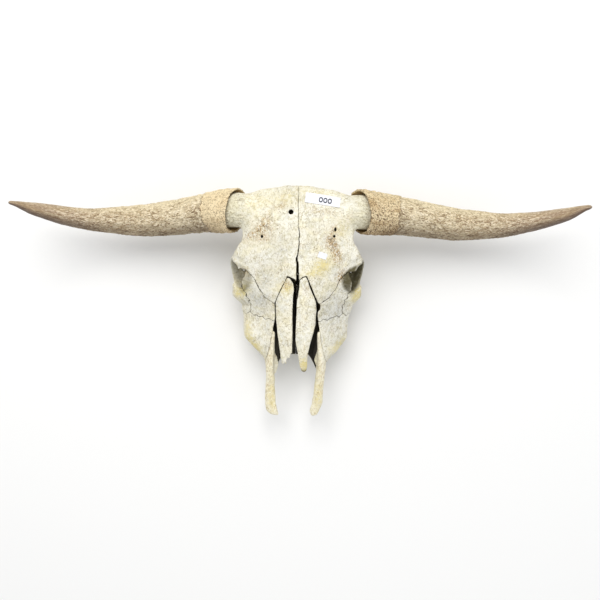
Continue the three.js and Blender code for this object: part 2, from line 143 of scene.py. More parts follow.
def smin(a, b, k):
    """The smaller of two distances, blended over k millimetres."""
    h = np.clip(0.5 + 0.5 * (b - a) / k, 0, 1)
    return b + (a - b) * h - k * h * (1 - h)


def smax(a, b, k):
    """The larger of two distances, blended over k millimetres."""
    return -smin(-a, -b, k)


# ---- Distance fields ----------------------------------------------------------------------


def ellipsoid(centre, radii, turn=(0, 0, 0)):
    """An ellipsoid turned about X, Y and Z: its distance function and its box, as in all shapes."""
    turned = Euler([math.radians(angle) for angle in turn]).to_matrix().transposed()

    def f(x, y, z):
        p = [x - centre[0], y - centre[1], z - centre[2]]
        if any(turn):
            p = [row[0] * p[0] + row[1] * p[1] + row[2] * p[2] for row in turned]
        k0 = np.sqrt(sum((p[i] / radii[i]) ** 2 for i in range(3)))
        k1 = np.sqrt(sum((p[i] / radii[i] ** 2) ** 2 for i in range(3)))
        return k0 * (k0 - 1) / np.maximum(k1, TINY)

    r = max(radii) + 2
    return f, [c - r for c in centre], [c + r for c in centre]


def sweep(axis, keys, power=2.0):
    """An oval tube along one axis. Keys [s, u, v, ru, rv]: u and v are the other two axes."""
    others = [i for i in range(3) if i != axis]
    k = np.array(keys, float)

    def f(x, y, z):
        p = [x, y, z]
        s = np.asarray(p[axis], float)
        u, v, ru, rv = columns(keys, s)
        next_u, next_v = columns(keys, s + 1.0)[:2]
        lean = np.minimum((next_u - u) ** 2 + (next_v - v) ** 2, 1.5)
        a = np.abs(p[others[0]] - u) / ru
        b = np.abs(p[others[1]] - v) / rv
        k0 = np.sqrt(a * a + b * b)
        k1 = np.sqrt((a / ru) ** 2 + (b / rv) ** 2) / np.maximum(k0, TINY)
        if power != 2.0:
            k0 = (a**power + b**power) ** (1 / power)
        side = (k0 - 1) / np.maximum(k1, TINY) / np.sqrt(1 + lean)
        ends = np.maximum(s - k[-1, 0], k[0, 0] - s)
        return smax(side, ends + 0 * side, 3.0)

    low, high = [0.0] * 3, [0.0] * 3
    low[axis], high[axis] = k[0, 0] - 3, k[-1, 0] + 3
    for i, o in enumerate(others):
        low[o] = (k[:, 1 + i] - k[:, 3 + i]).min() - 3
        high[o] = (k[:, 1 + i] + k[:, 3 + i]).max() + 3
    return f, low, high


def cone(a, b, ra, rb, flat=1.0):
    """A tube from a to b, flattened vertically by `flat`."""
    a, b = np.array(a, float), np.array(b, float)
    d = b - a
    length = np.linalg.norm(d)
    d /= length

    def f(x, y, z):
        p = [x - a[0], y - a[1], z - a[2]]
        s = p[0] * d[0] + p[1] * d[1] + p[2] * d[2]
        q = [p[i] - s * d[i] for i in range(3)]
        r = np.sqrt(q[0] ** 2 + q[1] ** 2 + (q[2] / flat) ** 2)
        t = np.clip(s / length, 0, 1)
        return np.maximum(r - (ra + (rb - ra) * t), np.maximum(-s, s - length))

    r = max(ra, rb) + 3
    return f, np.minimum(a, b) - r, np.maximum(a, b) + r


class Field:
    """Distances to a surface on a grid; negative inside."""

    def __init__(self, low, high=None, values=None):
        self.low = np.array(low, float)
        if values is None:
            size = np.round((np.array(high) - self.low) / CELL).astype(int) + 1
            values = np.full(size, FAR, np.float32)
        self.d = values

    @property
    def shape(self):
        return self.d.shape

    def axes(self, window=None):
        """The grid's x, y and z in millimetres, each along its own axis of an array."""
        out = []
        for i in range(3):
            n = np.arange(self.shape[i])
            if window is not None:
                n = n[window[i]]
            shape = [1, 1, 1]
            shape[i] = -1
            out.append((self.low[i] + n * CELL).reshape(shape).astype(np.float32))
        return out

    def window(self, low, high, pad=4):
        """Slices of the grid round a box, or None where they don't meet."""
        w = []
        for i in range(3):
            a = int(math.floor((low[i] - pad - self.low[i]) / CELL))
            b = int(math.ceil((high[i] + pad - self.low[i]) / CELL)) + 1
            a, b = max(a, 0), min(b, self.shape[i])
            if b <= a:
                return None
            w.append(slice(a, b))
        return tuple(w)

    def change(self, made, k, blend):
        f, low, high = made
        w = self.window(low, high, 4 + k)
        if w is not None:
            self.d[w] = blend(self.d[w], f(*self.axes(w)).astype(np.float32), k)

    def add(self, made, k):
        """Join a shape, with a fillet of about k millimetres."""
        self.change(made, k, smin)

    def cut(self, made, k):
        self.change(made, k, lambda mine, other, k: smax(mine, -other, k))

    def at(self, points):
        """Values at points in millimetres."""
        g = (points - self.low) / CELL
        i = np.clip(np.floor(g).astype(int), 0, np.array(self.shape) - 2)
        f = np.clip(g - i, 0, 1).astype(np.float32)
        total = 0
        for corner in itertools.product((0, 1), repeat=3):
            share = [f[:, axis] if far else 1 - f[:, axis] for axis, far in enumerate(corner)]
            total = total + share[0] * share[1] * share[2] * self.d[tuple((i + corner).T)]
        return total


# ---- The body of the skull ----------------------------------------------------------------


def half_outlines(ys, steps=6):
    """Outline of one side at each y, from the roof to the floor: a Catmull-Rom curve, as xz."""
    six = np.stack([along(k, ys) for k in (ROOF, SHOULDER, EDGE, WALL, SIDE, FLOOR)], axis=1)
    flip = np.array([-1.0, 1.0])
    p = np.concatenate([six[:, 1:2] * flip, six, six[:, 4:5] * flip], axis=1)
    out = []
    for i in range(1, 6):
        four = [p[:, j] for j in range(i - 1, i + 3)]
        t = [np.zeros((len(ys), 1))]
        for a, b in zip(four, four[1:]):
            length = np.linalg.norm(b - a, axis=1, keepdims=True)
            t.append(t[-1] + np.maximum(length, 1e-3) ** 0.5)
        for s in np.arange(steps) / steps:
            u = t[1] + (t[2] - t[1]) * s
            level = four
            for reach, spans in ((1, (0, 1, 2)), (2, (0, 1)), (1, (1,))):
                level = [
                    ((t[j + reach] - u) * a + (u - t[j]) * b) / (t[j + reach] - t[j])
                    for j, a, b in zip(spans, level, level[1:])
                ]
            out.append(level[0])
    out.append(p[:, 6])
    return np.stack(out, axis=1)


def loft(field):
    """Fill a half field (x from 0) with the distance to the lofted body, without its ends."""
    x, y, z = (a.ravel() for a in field.axes())
    outline = half_outlines(y)
    gx, gz = np.meshgrid(x, z, indexing="ij")
    for j in range(len(y)):
        p = outline[j].astype(np.float32)
        a, b = p[:-1], p[1:]
        ax, az = a[:, 0, None, None], a[:, 1, None, None]
        ex, ez = (b - a)[:, 0, None, None], (b - a)[:, 1, None, None]
        wx, wz = gx[None] - ax, gz[None] - az
        t = np.clip((wx * ex + wz * ez) / np.maximum(ex * ex + ez * ez, 1e-6), 0, 1)
        d2 = ((wx - ex * t) ** 2 + (wz - ez * t) ** 2).min(axis=0)
        spans = (wz >= 0) != (gz[None] - b[:, 1, None, None] >= 0)
        right = gx[None] < ax + ex * wz / np.where(ez == 0, 1, ez)
        inside = (spans & right).sum(axis=0) % 2 == 1
        field.d[:, j, :] = np.where(inside, -1, 1) * np.sqrt(d2)


def mirrored(field):
    """The full field made from its half x >= 0."""
    both = np.concatenate([field.d[:0:-1], field.d], axis=0)
    return Field([-(field.shape[0] - 1) * CELL, *field.low[1:]], values=both)


def nasal_cavity(field):
    """Hollow out the nose of a half field."""
    x, y, z = field.axes(w := field.window([0, -160, 50], [60, 44, 260], 0))
    wide, low = columns(CAVITY, y)
    r = 14.0  # of its corners
    qx, qz = x - wide + r, low + r - z
    box = np.sqrt(np.maximum(qx, 0) ** 2 + np.maximum(qz, 0) ** 2) + np.minimum(np.maximum(qx, qz), 0) - r
    box = smax(box, (y - 36) + 0 * box, 6.0)
    field.d[w] = smax(field.d[w], -box, 2.0)


EYE = np.array([128.0, 57.0, 126.0])  # middle of the left orbit's rim
EYE_OUT = np.array([0.91, -0.305, 0.275])  # the way it looks
ORBIT_FLAT = 0.94  # its height for its width


def build_half():
    """Distances to the right-hand half of the symmetric skull, and to its untrimmed loft."""
    field = Field([0, LOW[1], LOW[2]], HIGH)
    loft(field)
    shell = Field(field.low, values=field.d.copy())
    y = field.axes()[1]
    field.d = smax(field.d, np.maximum(y - BODY_BACK, BODY_FRONT - y) + 0 * field.d, 3.0)
    eye, out = EYE, EYE_OUT

    # cheek arch, from the crest of the face back to the ear
    field.add(sweep(1, [
        [-84, 94, 74, 3, 4], [-62, 98, 69, 7, 8], [-36, 101, 67, 9, 11], [-5, 111, 74, 12, 15],
        [30, 124, 86, 10, 15], [60, 128, 84, 7, 12], [88, 126, 82, 6, 10.5], [112, 117, 82, 6, 9],
        [134, 104, 83, 9, 9], [154, 84, 87, 12, 11],
    ]), 9)
    # tubercle of the jaw joint, bar behind the orbit and rim of the orbit
    field.add(ellipsoid([82, 148, 80], [31, 12, 11]), 8)
    field.add(sweep(2, [
        [78, 128, 70, 7, 13], [98, 133, 82, 5, 9], [122, 133, 92, 4.6, 8], [144, 127, 99, 7, 10],
        [162, 118, 106, 9, 14],
    ]), 7)
    field.add(cone(eye - 20 * out, eye + 1 * out, 37, 37.5, ORBIT_FLAT), 8)
    # nasal cavity, with its slanting front
    nasal_cavity(field)
    x, y, z = field.axes()
    front = 114 + 36 * ease((x - 24) / 28) - 0.3 * np.clip(z - 92, 0, 60)
    field.d = smax(field.d, -front - y, 5)
    # orbit and temporal hollow
    field.cut(cone(eye + 40 * out, eye - 18 * out, 36, 31, ORBIT_FLAT), 2.5)
    field.cut(cone(eye - 16 * out, eye - 60 * out, 30, 13, ORBIT_FLAT), 8)
    field.cut(ellipsoid([97, 106, 118], [25, 34, 25]), 8)
    # choana, the way up from it, and the vomer that parts it
    field.cut(ellipsoid([0, 64, 50], [20, 50, 17]), 5)
    field.cut(ellipsoid([0, 40, 100], [26, 26, 22]), 5)
    field.cut(cone([0, 84, 54], [0, 52, 92], 13, 15), 5)
    field.add(sweep(1, [
        [-84, 0, 62, 2.6, 10], [-60, 0, 66, 2.6, 20], [0, 0, 74, 2.6, 26], [44, 0, 92, 2.8, 18],
        [60, 0, 84, 3, 12],
    ]), 3)
    # lacrimal bulla, occipital condyle and jugular process
    field.add(ellipsoid([92, 52, 86], [26, 28, 20]), 6)
    field.add(ellipsoid([25, 211, 67], [16, 21, 25], [22, -10, -24]), 6)
    field.add(sweep(2, [
        [-4, 51, 177, 5, 7], [10, 53, 180, 8, 10], [34, 57, 186, 10, 12], [62, 60, 190, 15, 13],
        [96, 62, 192, 22, 15],
    ]), 7)
    # tympanic bulla, mastoid and pterygoid
    field.add(ellipsoid([46, 158, 44], [13, 17, 17]), 4)
    field.add(ellipsoid([86, 190, 98], [19, 15, 34], [0, 12, 0]), 9)
    field.add(sweep(1, [
        [30, 27, 62, 3.2, 12], [58, 27, 48, 2.8, 16], [84, 25, 44, 2.8, 15], [102, 24, 54, 3.2, 9],
    ]), 5)
    # nuchal plane: hollow, knob, ridge and side crest
    field.cut(ellipsoid([38, 236, 122], [28, 17, 30]), 12)
    field.add(ellipsoid([0, 224, 130], [11, 12, 17]), 9)
    field.add(ellipsoid([0, 212, 106], [4, 10, 16]), 7)
    field.add(sweep(2, [
        [66, 76, 196, 9, 8], [90, 86, 199, 9, 8], [118, 90, 206, 10, 9], [140, 84, 216, 10, 9],
    ]), 9)
    # foramen magnum
    field.cut(ellipsoid([0, 216, 84], [19, 44, 17]), 4)
    return field, shell


TEETH = [
    # length, width, number of lobes
    (17, 16, 1), (19, 18, 1), (19, 21, 1), (25, 25, 2), (28, 26, 2), (29, 24, 2),
]
TOOTH_FRONT, TOOTH_SLOPE = -112, 0.165
TOOTH_SQUARE, TOOTH_GAP = 3.2, 0.4


def teeth(field):
    """Distances to the cheek teeth of one side."""
    w = field.window([36, -120, -6], [92, 34, 60])
    x, y, z = field.axes(w)
    row = sum(length for length, _, _ in TEETH)
    best = np.full(field.d[w].shape, FAR, np.float32)
    done = 0
    up = np.clip(z / 34, 0, 1)
    for length, width, lobes in TEETH:
        pitch = length / lobes
        tooth = None
        for i in range(lobes):
            middle = done + pitch * (i + 0.5)
            t = middle / row
            cx = (61 * (1 - t) + 69 * t) * (1 - t) + (69 * (1 - t) + 66 * t) * t
            hw = width / 2 * (1.06 - 0.2 * up)
            hl = pitch / 2 * (1.03 if lobes == 1 else 1.14) * (1.0 - 0.06 * up)
            u, v = (x - (cx - 3.0 * up)) / hw, (y - (TOOTH_FRONT + middle)) / hl
            k0 = (np.abs(u) ** TOOTH_SQUARE + np.abs(v) ** TOOTH_SQUARE) ** (1 / TOOTH_SQUARE)
            lobe = (k0 - 1) * np.minimum(hw, hl) - 0.8 * np.exp(-((v / 0.22) ** 2)) * (u > 0)
            # the chewing face: a slope along the row, cusps at the sides and a pit between
            across = np.abs(x - cx) / (width / 2)
            bite = (TOOTH_FRONT + row - y) * TOOTH_SLOPE + 1.2
            bite = bite - 2.6 * across * (0.35 + 0.65 * np.cos(np.clip(v, -1, 1) * math.pi * 0.8))
            bite = bite + 3.2 * np.exp(-((u / 0.26 + v * v) ** 2) - (v / 0.62) ** 4)
            lobe = smax(lobe, bite - z, 1.2)
            tooth = lobe if tooth is None else smin(tooth, lobe, 1.2)
        tooth = np.maximum(tooth, z - 52)
        mid_y = TOOTH_FRONT + done + length / 2
        tooth = np.maximum(tooth, np.abs(y - mid_y) - length / 2 + TOOTH_GAP)
        best = np.minimum(best, tooth)
        done += length
    out = Field(field.low, values=np.full(field.shape, FAR, np.float32))
    out.d[w] = best
    return out


def ground_flat(field):
    """Level the resting points at the floor."""
    z = field.axes()[2]
    field.d = np.maximum(field.d, -z + 0 * field.d)


# ---- Sutures ------------------------------------------------------------------------------

FRONTO_LACRIMAL = [[46, -3], [57, 3], [68, 10], [72, 18], [80, 28], [91, 51], [107, 66]]
LACRIMAL_MAXILLARY = [
    [100, -22], [92, -30], [86, -27], [80, -32], [72, -33], [66, -38], [58, -35], [50, -40], [30, -37],
]
ZYGOMATIC_LACRIMAL = [
    [118, 33], [113, 24], [107, 19], [108, 11], [101, 7], [102, -1], [97, -5], [99, -14], [96, -18],
    [100, -22],
]
FACE_END, BASE_END = 40, 166  # y where the face meets the base, and the base the back
# The gap between the two frontals, keys [y, middle, half-width].
MIDLINE = [
    [-140, -4.6, 2.6], [-102, -4.6, 2.6], [-79, -4.4, 3.1], [-37, -4.4, 3.7], [5, -3.5, 4.0],
    [26, -0.7, 4.4], [47, 1.1, 3.0], [78, 0.6, 2.4], [92, -1, 1.5], [98, 0.2, 1.0],
    [118, 3.0, 0.7], [143, 3.4, 0.55], [160, 1.2, 0.3], [228, 0.0, 0.25],
]


def polygon(points, x, y):
    """Signed distance in plan to a polygon."""
    p = np.array(points, float)
    q = np.roll(p, -1, axis=0)
    best, inside = 1e9, False
    for a, b in zip(p, q):
        e = b - a
        t = np.clip(((x - a[0]) * e[0] + (y - a[1]) * e[1]) / max(e @ e, 1e-9), 0, 1)
        best = np.minimum(best, (x - a[0] - e[0] * t) ** 2 + (y - a[1] - e[1] * t) ** 2)
        if a[1] != b[1]:
            cross = ((y >= a[1]) != (y >= b[1])) & (x < a[0] + e[0] * (y - a[1]) / e[1])
            inside = inside ^ cross
    return np.where(inside, -1, 1) * np.sqrt(best)


REGIONS = {
    "frontal": (
        [[-20, 36], [20, 54], *FRONTO_LACRIMAL, [150, 72], [150, 120], [400, 120], [400, 260], [-20, 260]],
        114, 11),
    "lacrimal": ([[34, 2], *FRONTO_LACRIMAL, *ZYGOMATIC_LACRIMAL, *LACRIMAL_MAXILLARY[1:]], 100, 0),
    "zygomatic": (
        [*ZYGOMATIC_LACRIMAL, [118, -34], [160, -20], [160, 112], [100, 112], [100, 70], [112, 58]],
        60, 0),
    "temporal": ([[54, 104], [150, 104], [150, 204], [76, 204], [66, 172], [54, 166]], 56, 0),
}


def region(name, x, y, z, jag):
    """Distance to the part of space that a bone takes from the skull, with jagged borders."""
    outline, bottom, rise = REGIONS[name]
    plan = polygon(outline, x, y) + jag
    if name == "zygomatic":
        plan = np.maximum(plan, 0.87 * (0.6 * (98 - z) - 30 - y) + jag)
    under = bottom + math.tan(math.radians(rise)) * (y - 60) - z
    return np.maximum(plan, under + jag)


def midline_gap(x, y):
    """Distance to the middle of the gap between the frontals, and its half-width."""
    middle, half = columns(MIDLINE, y)
    return x - middle, half


# ---- Nasal bones and premaxillae ----------------------------------------------------------

NASAL_OUTLINES = {
    # the animal's left, then its right, as plan loops
    "left": [
        [18.8, 53.6], [12, 52], [6, 47], [4.6, 36], [4.4, 26], [0.8, 5], [-0.7, -37], [-1.4, -79],
        [2.6, -104], [4.2, -112], [6.6, -126], [9, -139], [13, -148.5], [19, -150.5], [24.4, -146],
        [25.4, -138], [25.2, -124], [26.8, -106], [30, -90], [35.8, -68.5], [40.7, -47],
        [42.4, -15.5], [41, 1.4], [34, 17], [27.7, 31], [23, 46],
    ],
    "right": [
        [-20, 52], [-14, 49], [-8.3, 40.4], [-5.9, 25.7], [-7.7, 4.7], [-8.2, -37], [-7.5, -79],
        [-7.6, -107], [-11, -110], [-14, -121], [-17.5, -119], [-20, -133], [-24, -129], [-27, -138],
        [-31, -128], [-34.5, -103], [-39.3, -70], [-43, -38], [-44.5, -1], [-40, 12], [-33.5, 25],
        [-26, 42],
    ],
}

PREMAXILLA = {
    # y, x, z, half-width, half-height
    "left": [
        [-247, 39, 76, 4, 3], [-245, 41, 76.4, 6, 3.6], [-236, 42.5, 77.5, 9.8, 5],
        [-227, 45.5, 79, 11, 6], [-218, 48.5, 81, 11, 6.6], [-209, 49, 83, 10.8, 7.3],
        [-192, 50.6, 87, 9.7, 8.6], [-174, 51.8, 91, 10, 10.5], [-156, 53.4, 96, 9.8, 12],
        [-139, 55, 100, 9.5, 12.8], [-120, 54.5, 105, 7, 12.5], [-100, 51, 112, 5, 11],
        [-64, 48, 126, 2.5, 4],
    ],
    "right": [
        [-247, 42, 76, 6, 3], [-244, 45, 76.4, 9, 4], [-236, 50, 77.5, 11.8, 5],
        [-227, 52, 79, 12, 6], [-218, 53.3, 81, 11.3, 6.6], [-200, 54, 85, 11, 8],
        [-183, 54.8, 89, 10.3, 9.5], [-165, 54, 93.5, 9.8, 11], [-147, 55.5, 98, 8.2, 12.5],
        [-128, 56, 103, 7.5, 13], [-100, 51, 112, 5, 11], [-64, 48, 126, 2.5, 4],
    ],
}
# The thin shelf on the inner edge of each, and the part of the snout that it takes, in plan.
SHELVES = {
    "left": [[47, -62], [40, -86], [37, -110], [40, -126], [44.5, -136], [48, -138]],
    "right": [[47, -62], [38, -84], [35, -116], [37.5, -138], [43, -154], [47, -154]],
}
PREMAXILLA_REGION = [
    [40, -60], [50.5, -62], [55, -90], [60, -112], [66, -128], [72, -142], [76, -262], [8, -262],
    [8, -120],
]
PREMAXILLA_UNDER = [[-170, 40], [-156, 64], [-144, 84], [-120, 93], [-100, 102], [-64, 121]]


# ---- Meshes -------------------------------------------------------------------------------


def new_object(name, data):
    """An object in the scene for a mesh, a light or a camera."""
    obj = bpy.data.objects.new(name, data)
    bpy.context.scene.collection.objects.link(obj)
    return obj


def object_from(name, points, quads):
    """A smooth mesh from points in millimetres and quads."""
    mesh = bpy.data.meshes.new(name)
    mesh.vertices.add(len(points))
    mesh.vertices.foreach_set("co", ((points + CENTRE) / 1000).astype(np.float32).ravel())
    mesh.loops.add(quads.size)
    mesh.loops.foreach_set("vertex_index", quads.astype(np.int32).ravel())
    mesh.polygons.add(len(quads))
    mesh.polygons.foreach_set("loop_start", np.arange(0, quads.size, 4, dtype=np.int32))
    mesh.update(calc_edges=True)
    mesh.polygons.foreach_set("use_smooth", np.ones(len(mesh.polygons), bool))
    return new_object(name, mesh)


def surface(field):
    """Points in millimetres and quads of the zero surface, largest piece only."""
    grid = vdb.FloatGrid(FAR)
    grid.copyFromArray(np.ascontiguousarray(field.d, np.float32))
    points, quads = grid.convertToQuads(0.0)
    points, quads = largest(points.astype(np.float32), quads.astype(np.int64))
    return points * CELL + field.low, quads[:, ::-1]


def largest(points, quads):
    """Keep the largest connected piece."""
    n = len(points)
    label = np.arange(n)
    while True:
        low = label[quads].min(axis=1)
        new = label.copy()
        for c in range(quads.shape[1]):
            np.minimum.at(new, quads[:, c], low)
        new = new[new]
        if (new == label).all():
            break
        label = new
    names, counts = np.unique(label[quads[:, 0]], return_counts=True)
    keep = label == names[counts.argmax()]
    index = np.cumsum(keep) - 1
    return points[keep], index[quads[keep[quads[:, 0]]]]


def attribute(obj, name, values):
    """Give each point of a mesh a number for the materials."""
    layer = obj.data.attributes.new(name, "FLOAT", "POINT")
    layer.data.foreach_set("value", np.asarray(values, np.float32).ravel())


def ring_faces(rows, around, start=0):
    """Quads of a closed tube of points, rows by around."""
    i = np.arange(rows - 1)[:, None] * around
    k = np.arange(around)[None, :]
    n = (k + 1) % around
    quads = np.stack([i + k, i + n, i + around + n, i + around + k], axis=-1)
    return quads.reshape(-1, 4) + start


# ---- Details of one skull -----------------------------------------------------------------

HOLES = [
    # centre, radii; the first four are deep, with a painted shadow inside
    ([-14.7, 186, 190], [5.3, 5.1, 15]), ([-74, 135, 180], [2.6, 3.2, 8]),
    ([77.5, 152, 183], [2.6, 4.4, 8]), ([75.6, 138, 181], [2.6, 2.8, 9]),
    ([71, 128, 181.5], [4.5, 6, 3.4]), ([77, 119, 179.5], [5.5, 7, 3.2]),
    ([80, 108, 177], [4.5, 7, 3.2]), ([84, 97, 174], [3.2, 5, 3.0]),
    ([91.7, 57, 160], [4.0, 6.5, 4]),
    ([-91, -66, 93], [3.2, 6, 6]), ([91, -66, 93], [3.2, 6, 6]),
    ([-24, -30, 47], [3, 5, 5]), ([24, -30, 47], [3, 5, 5]),
    ([-88, 176, 92], [9, 4, 5]), ([88, 176, 92], [9, 4, 5]),
]

# Places where the roof is worn rough: x, y, half-sizes and depth.
WORN = [
    [77, 113, 9, 22, 1.5], [72, 128, 7, 8, 1.0], [-74, 152, 9, 24, 0.8], [-84, 140, 14, 8, 0.7],
    [92, 58, 7, 12, 1.0], [77, 150, 5, 8, 0.8], [-16, 60, 30, 22, 0.25], [20, 74, 16, 30, 0.25],
]

# Where the cheeks swell or fall in: y, length, change on the left and on the right.
CHEEKS = [[-54, 32, 0.5, 4.0], [14, 8, 2.5, 3.5], [-6, 7, -2.0, -3.5]]

# The opening that each nasal bone lies in, in plan.
ROOMS = [
    [[-1.5, -140], [-1.5, 37], [4.9, 37.5], [6.4, 47.6], [12, 53], [19.2, 55.2], [21, 54], [31, 31],
     [43.6, 1.3], [50, -5], [49.7, -14], [45.4, -20], [44.8, -29], [47, -40], [49, -59], [50, -106],
     [50, -140]],
    [[-1.5, -140], [-1.5, 38], [-8.8, 41.4], [-14.3, 50], [-20, 53.6], [-34.5, 26], [-46, -1],
     [-45.8, -20], [-44.6, -37], [-48, -50], [-52, -67], [-51, -103], [-51, -140]],
]

CORE = [
    # x, y, z, half-height in y, half-height in z
    [70, 184, 148, 33, 33], [88, 187, 150, 34, 34], [104, 190.5, 152, 35, 36.5],
    [131, 192, 149, 35.5, 39], [163, 190.5, 136, 34, 37], [214, 186.5, 120, 29.5, 32],
    [264, 179.5, 109, 21, 22], [292, 176, 105, 12, 12],
]


def shared(a, b):
    """Slices of two fields on one lattice where they overlap."""
    shift = np.round((b.low - a.low) / CELL).astype(int)
    in_a, in_b = [], []
    for i in range(3):
        first, last = max(0, shift[i]), min(a.d.shape[i], shift[i] + b.d.shape[i])
        in_a.append(slice(first, last))
        in_b.append(slice(first - shift[i], last - shift[i]))
    return tuple(in_a), tuple(in_b)


def grab(source, low, high):
    """A new field over low..high, on the source's lattice and with its values where it has them."""
    start = source.low + np.floor((np.array(low) - source.low) / CELL) * CELL
    size = np.ceil((np.array(high) - start) / CELL)
    out = Field(start, start + size * CELL)
    mine, theirs = shared(out, source)
    out.d[mine] = source.d[theirs]
    return out


def grab_side(source, sign, low, high):
    """`grab` with a box given on the left-hand side, mirrored where sign is -1."""
    ends = sorted((sign * low[0], sign * high[0]))
    return grab(source, [ends[0], *low[1:]], [ends[1], *high[1:]])


def carve(whole, piece):
    """Take a piece, and the gap around it, out of the whole."""
    a, b = shared(whole, piece)
    whole.d[a] = np.maximum(whole.d[a], GAP - piece.d[b])


def whole_skull():
    """The whole skull before it is parted, its untrimmed loft and its teeth."""
    half, shell = build_half()
    crowns = teeth(half)
    half.d = np.minimum(half.d, crowns.d)
    full, shell, crowns = mirrored(half), mirrored(shell), mirrored(crowns)
    n = full.shape
    uneven = 0.9 * lattice(n, 34, 11) + 0.4 * lattice(n, 12, 12) + 0.22 * lattice(n, 5, 13)
    full.d += uneven * np.clip(crowns.d / 4, 0, 1)
    shell.d += uneven
    x, y, z = full.axes()
    snout = 1.5 * np.exp(-(((y + 112) / 14) ** 2)) * np.clip(np.abs(x) / 12 - 4, 0, 1)
    full.d -= snout * np.sign(x)
    cheek = np.clip((np.abs(x) - 84) / 14, 0, 1) * np.clip((118 - z) / 16, 0, 1)
    for at, long, left, right in CHEEKS:
        full.d -= np.where(x > 0, left, right) * np.exp(-(((y - at) / long) ** 2)) * cheek
    worn = sum(k * np.exp(-(((x - a) / u) ** 2) - ((y - b) / v) ** 2) for a, b, u, v, k in WORN)
    pits = 1.3 * lattice(n, 4.2, 14) + 0.9 * lattice(n, 2.3, 15)
    full.d += np.where(z > 140, worn, 0) * (pits + 0.35)
    for centre, radii in HOLES:
        full.cut(ellipsoid(centre, radii), 1.2)
    ground_flat(full)
    return full, shell, crowns


def premaxilla(side, sign, whole):
    """Grow one premaxilla out of the whole, and return it as a piece of its own."""
    out = grab_side(whole, sign, [8, -249, 34], [78, -54, 140])
    x, y, z = out.axes()
    prong = np.asarray(sweep(1, PREMAXILLA[side], 2.4)[0](x * sign, y, z), np.float32)
    sheet = (z - 92 - 0.1 * (y + 150) - 0.75 * (x * sign - 44)) / 1.25
    plate = smax(polygon(SHELVES[side], x * sign, y), np.abs(sheet) - 1.7, 1.2)
    prong = smin(prong, plate, 4)
    prong += 0.5 * lattice(out.shape, 16, 41 + sign) + 0.3 * lattice(out.shape, [5, 14, 5], 43 + sign)
    joined = smin(out.d, prong, 8)
    theirs, mine = shared(whole, out)
    whole.d[theirs] = joined[mine]
    under = columns(PREMAXILLA_UNDER, y)[0]
    jag = 0.8 * lattice(out.shape, 6.5, 45 + sign)
    own = np.maximum(polygon(PREMAXILLA_REGION, x * sign, y), under - z) + jag
    out.d = np.maximum(joined, own)
    return out


def nasal(side, shell):
    """One nasal bone: a thin shell under the untrimmed loft, with a torn front end."""
    outline = NASAL_OUTLINES[side]
    p = np.array(outline)
    low = [p[:, 0].min() - 6, p[:, 1].min() - 6, 92]
    high = [p[:, 0].max() + 6, p[:, 1].max() + 6, 176]
    out = grab(shell, low, high)
    x, y, z = out.axes()
    torn = 0.8 if side == "right" else 0.3
    ragged = torn * lattice(out.shape, [3, 3, 30], 51) * np.clip((-70 - y) / 40, 0.3, 1)
    plan = polygon(outline, x, y) + ragged
    crown = 1.6 * np.clip(-plan / 9, 0, 1) ** 0.6
    drop = np.clip((-100 - y) / 50, 0, 1) ** 2 * 7
    raised = out.d - crown + drop + 1.0
    thick = 3.2 + 2.0 * np.clip(-plan / 10, 0, 1) - 1.2 * np.clip((-90 - y) / 50, 0, 1)
    out.d = smax(smax(raised, -raised - thick, 1.5), plan, 2.2)
    if side == "left":
        bridge, _, _ = ellipsoid([-2.5, 26, 152.5], [6.5, 5.5, 3])
        out.d = smin(out.d, np.maximum(bridge(x, y, z), -5.2 - x), 2)
    out.d += 0.3 * lattice(out.shape, [4, 16, 4], 52)
    return out


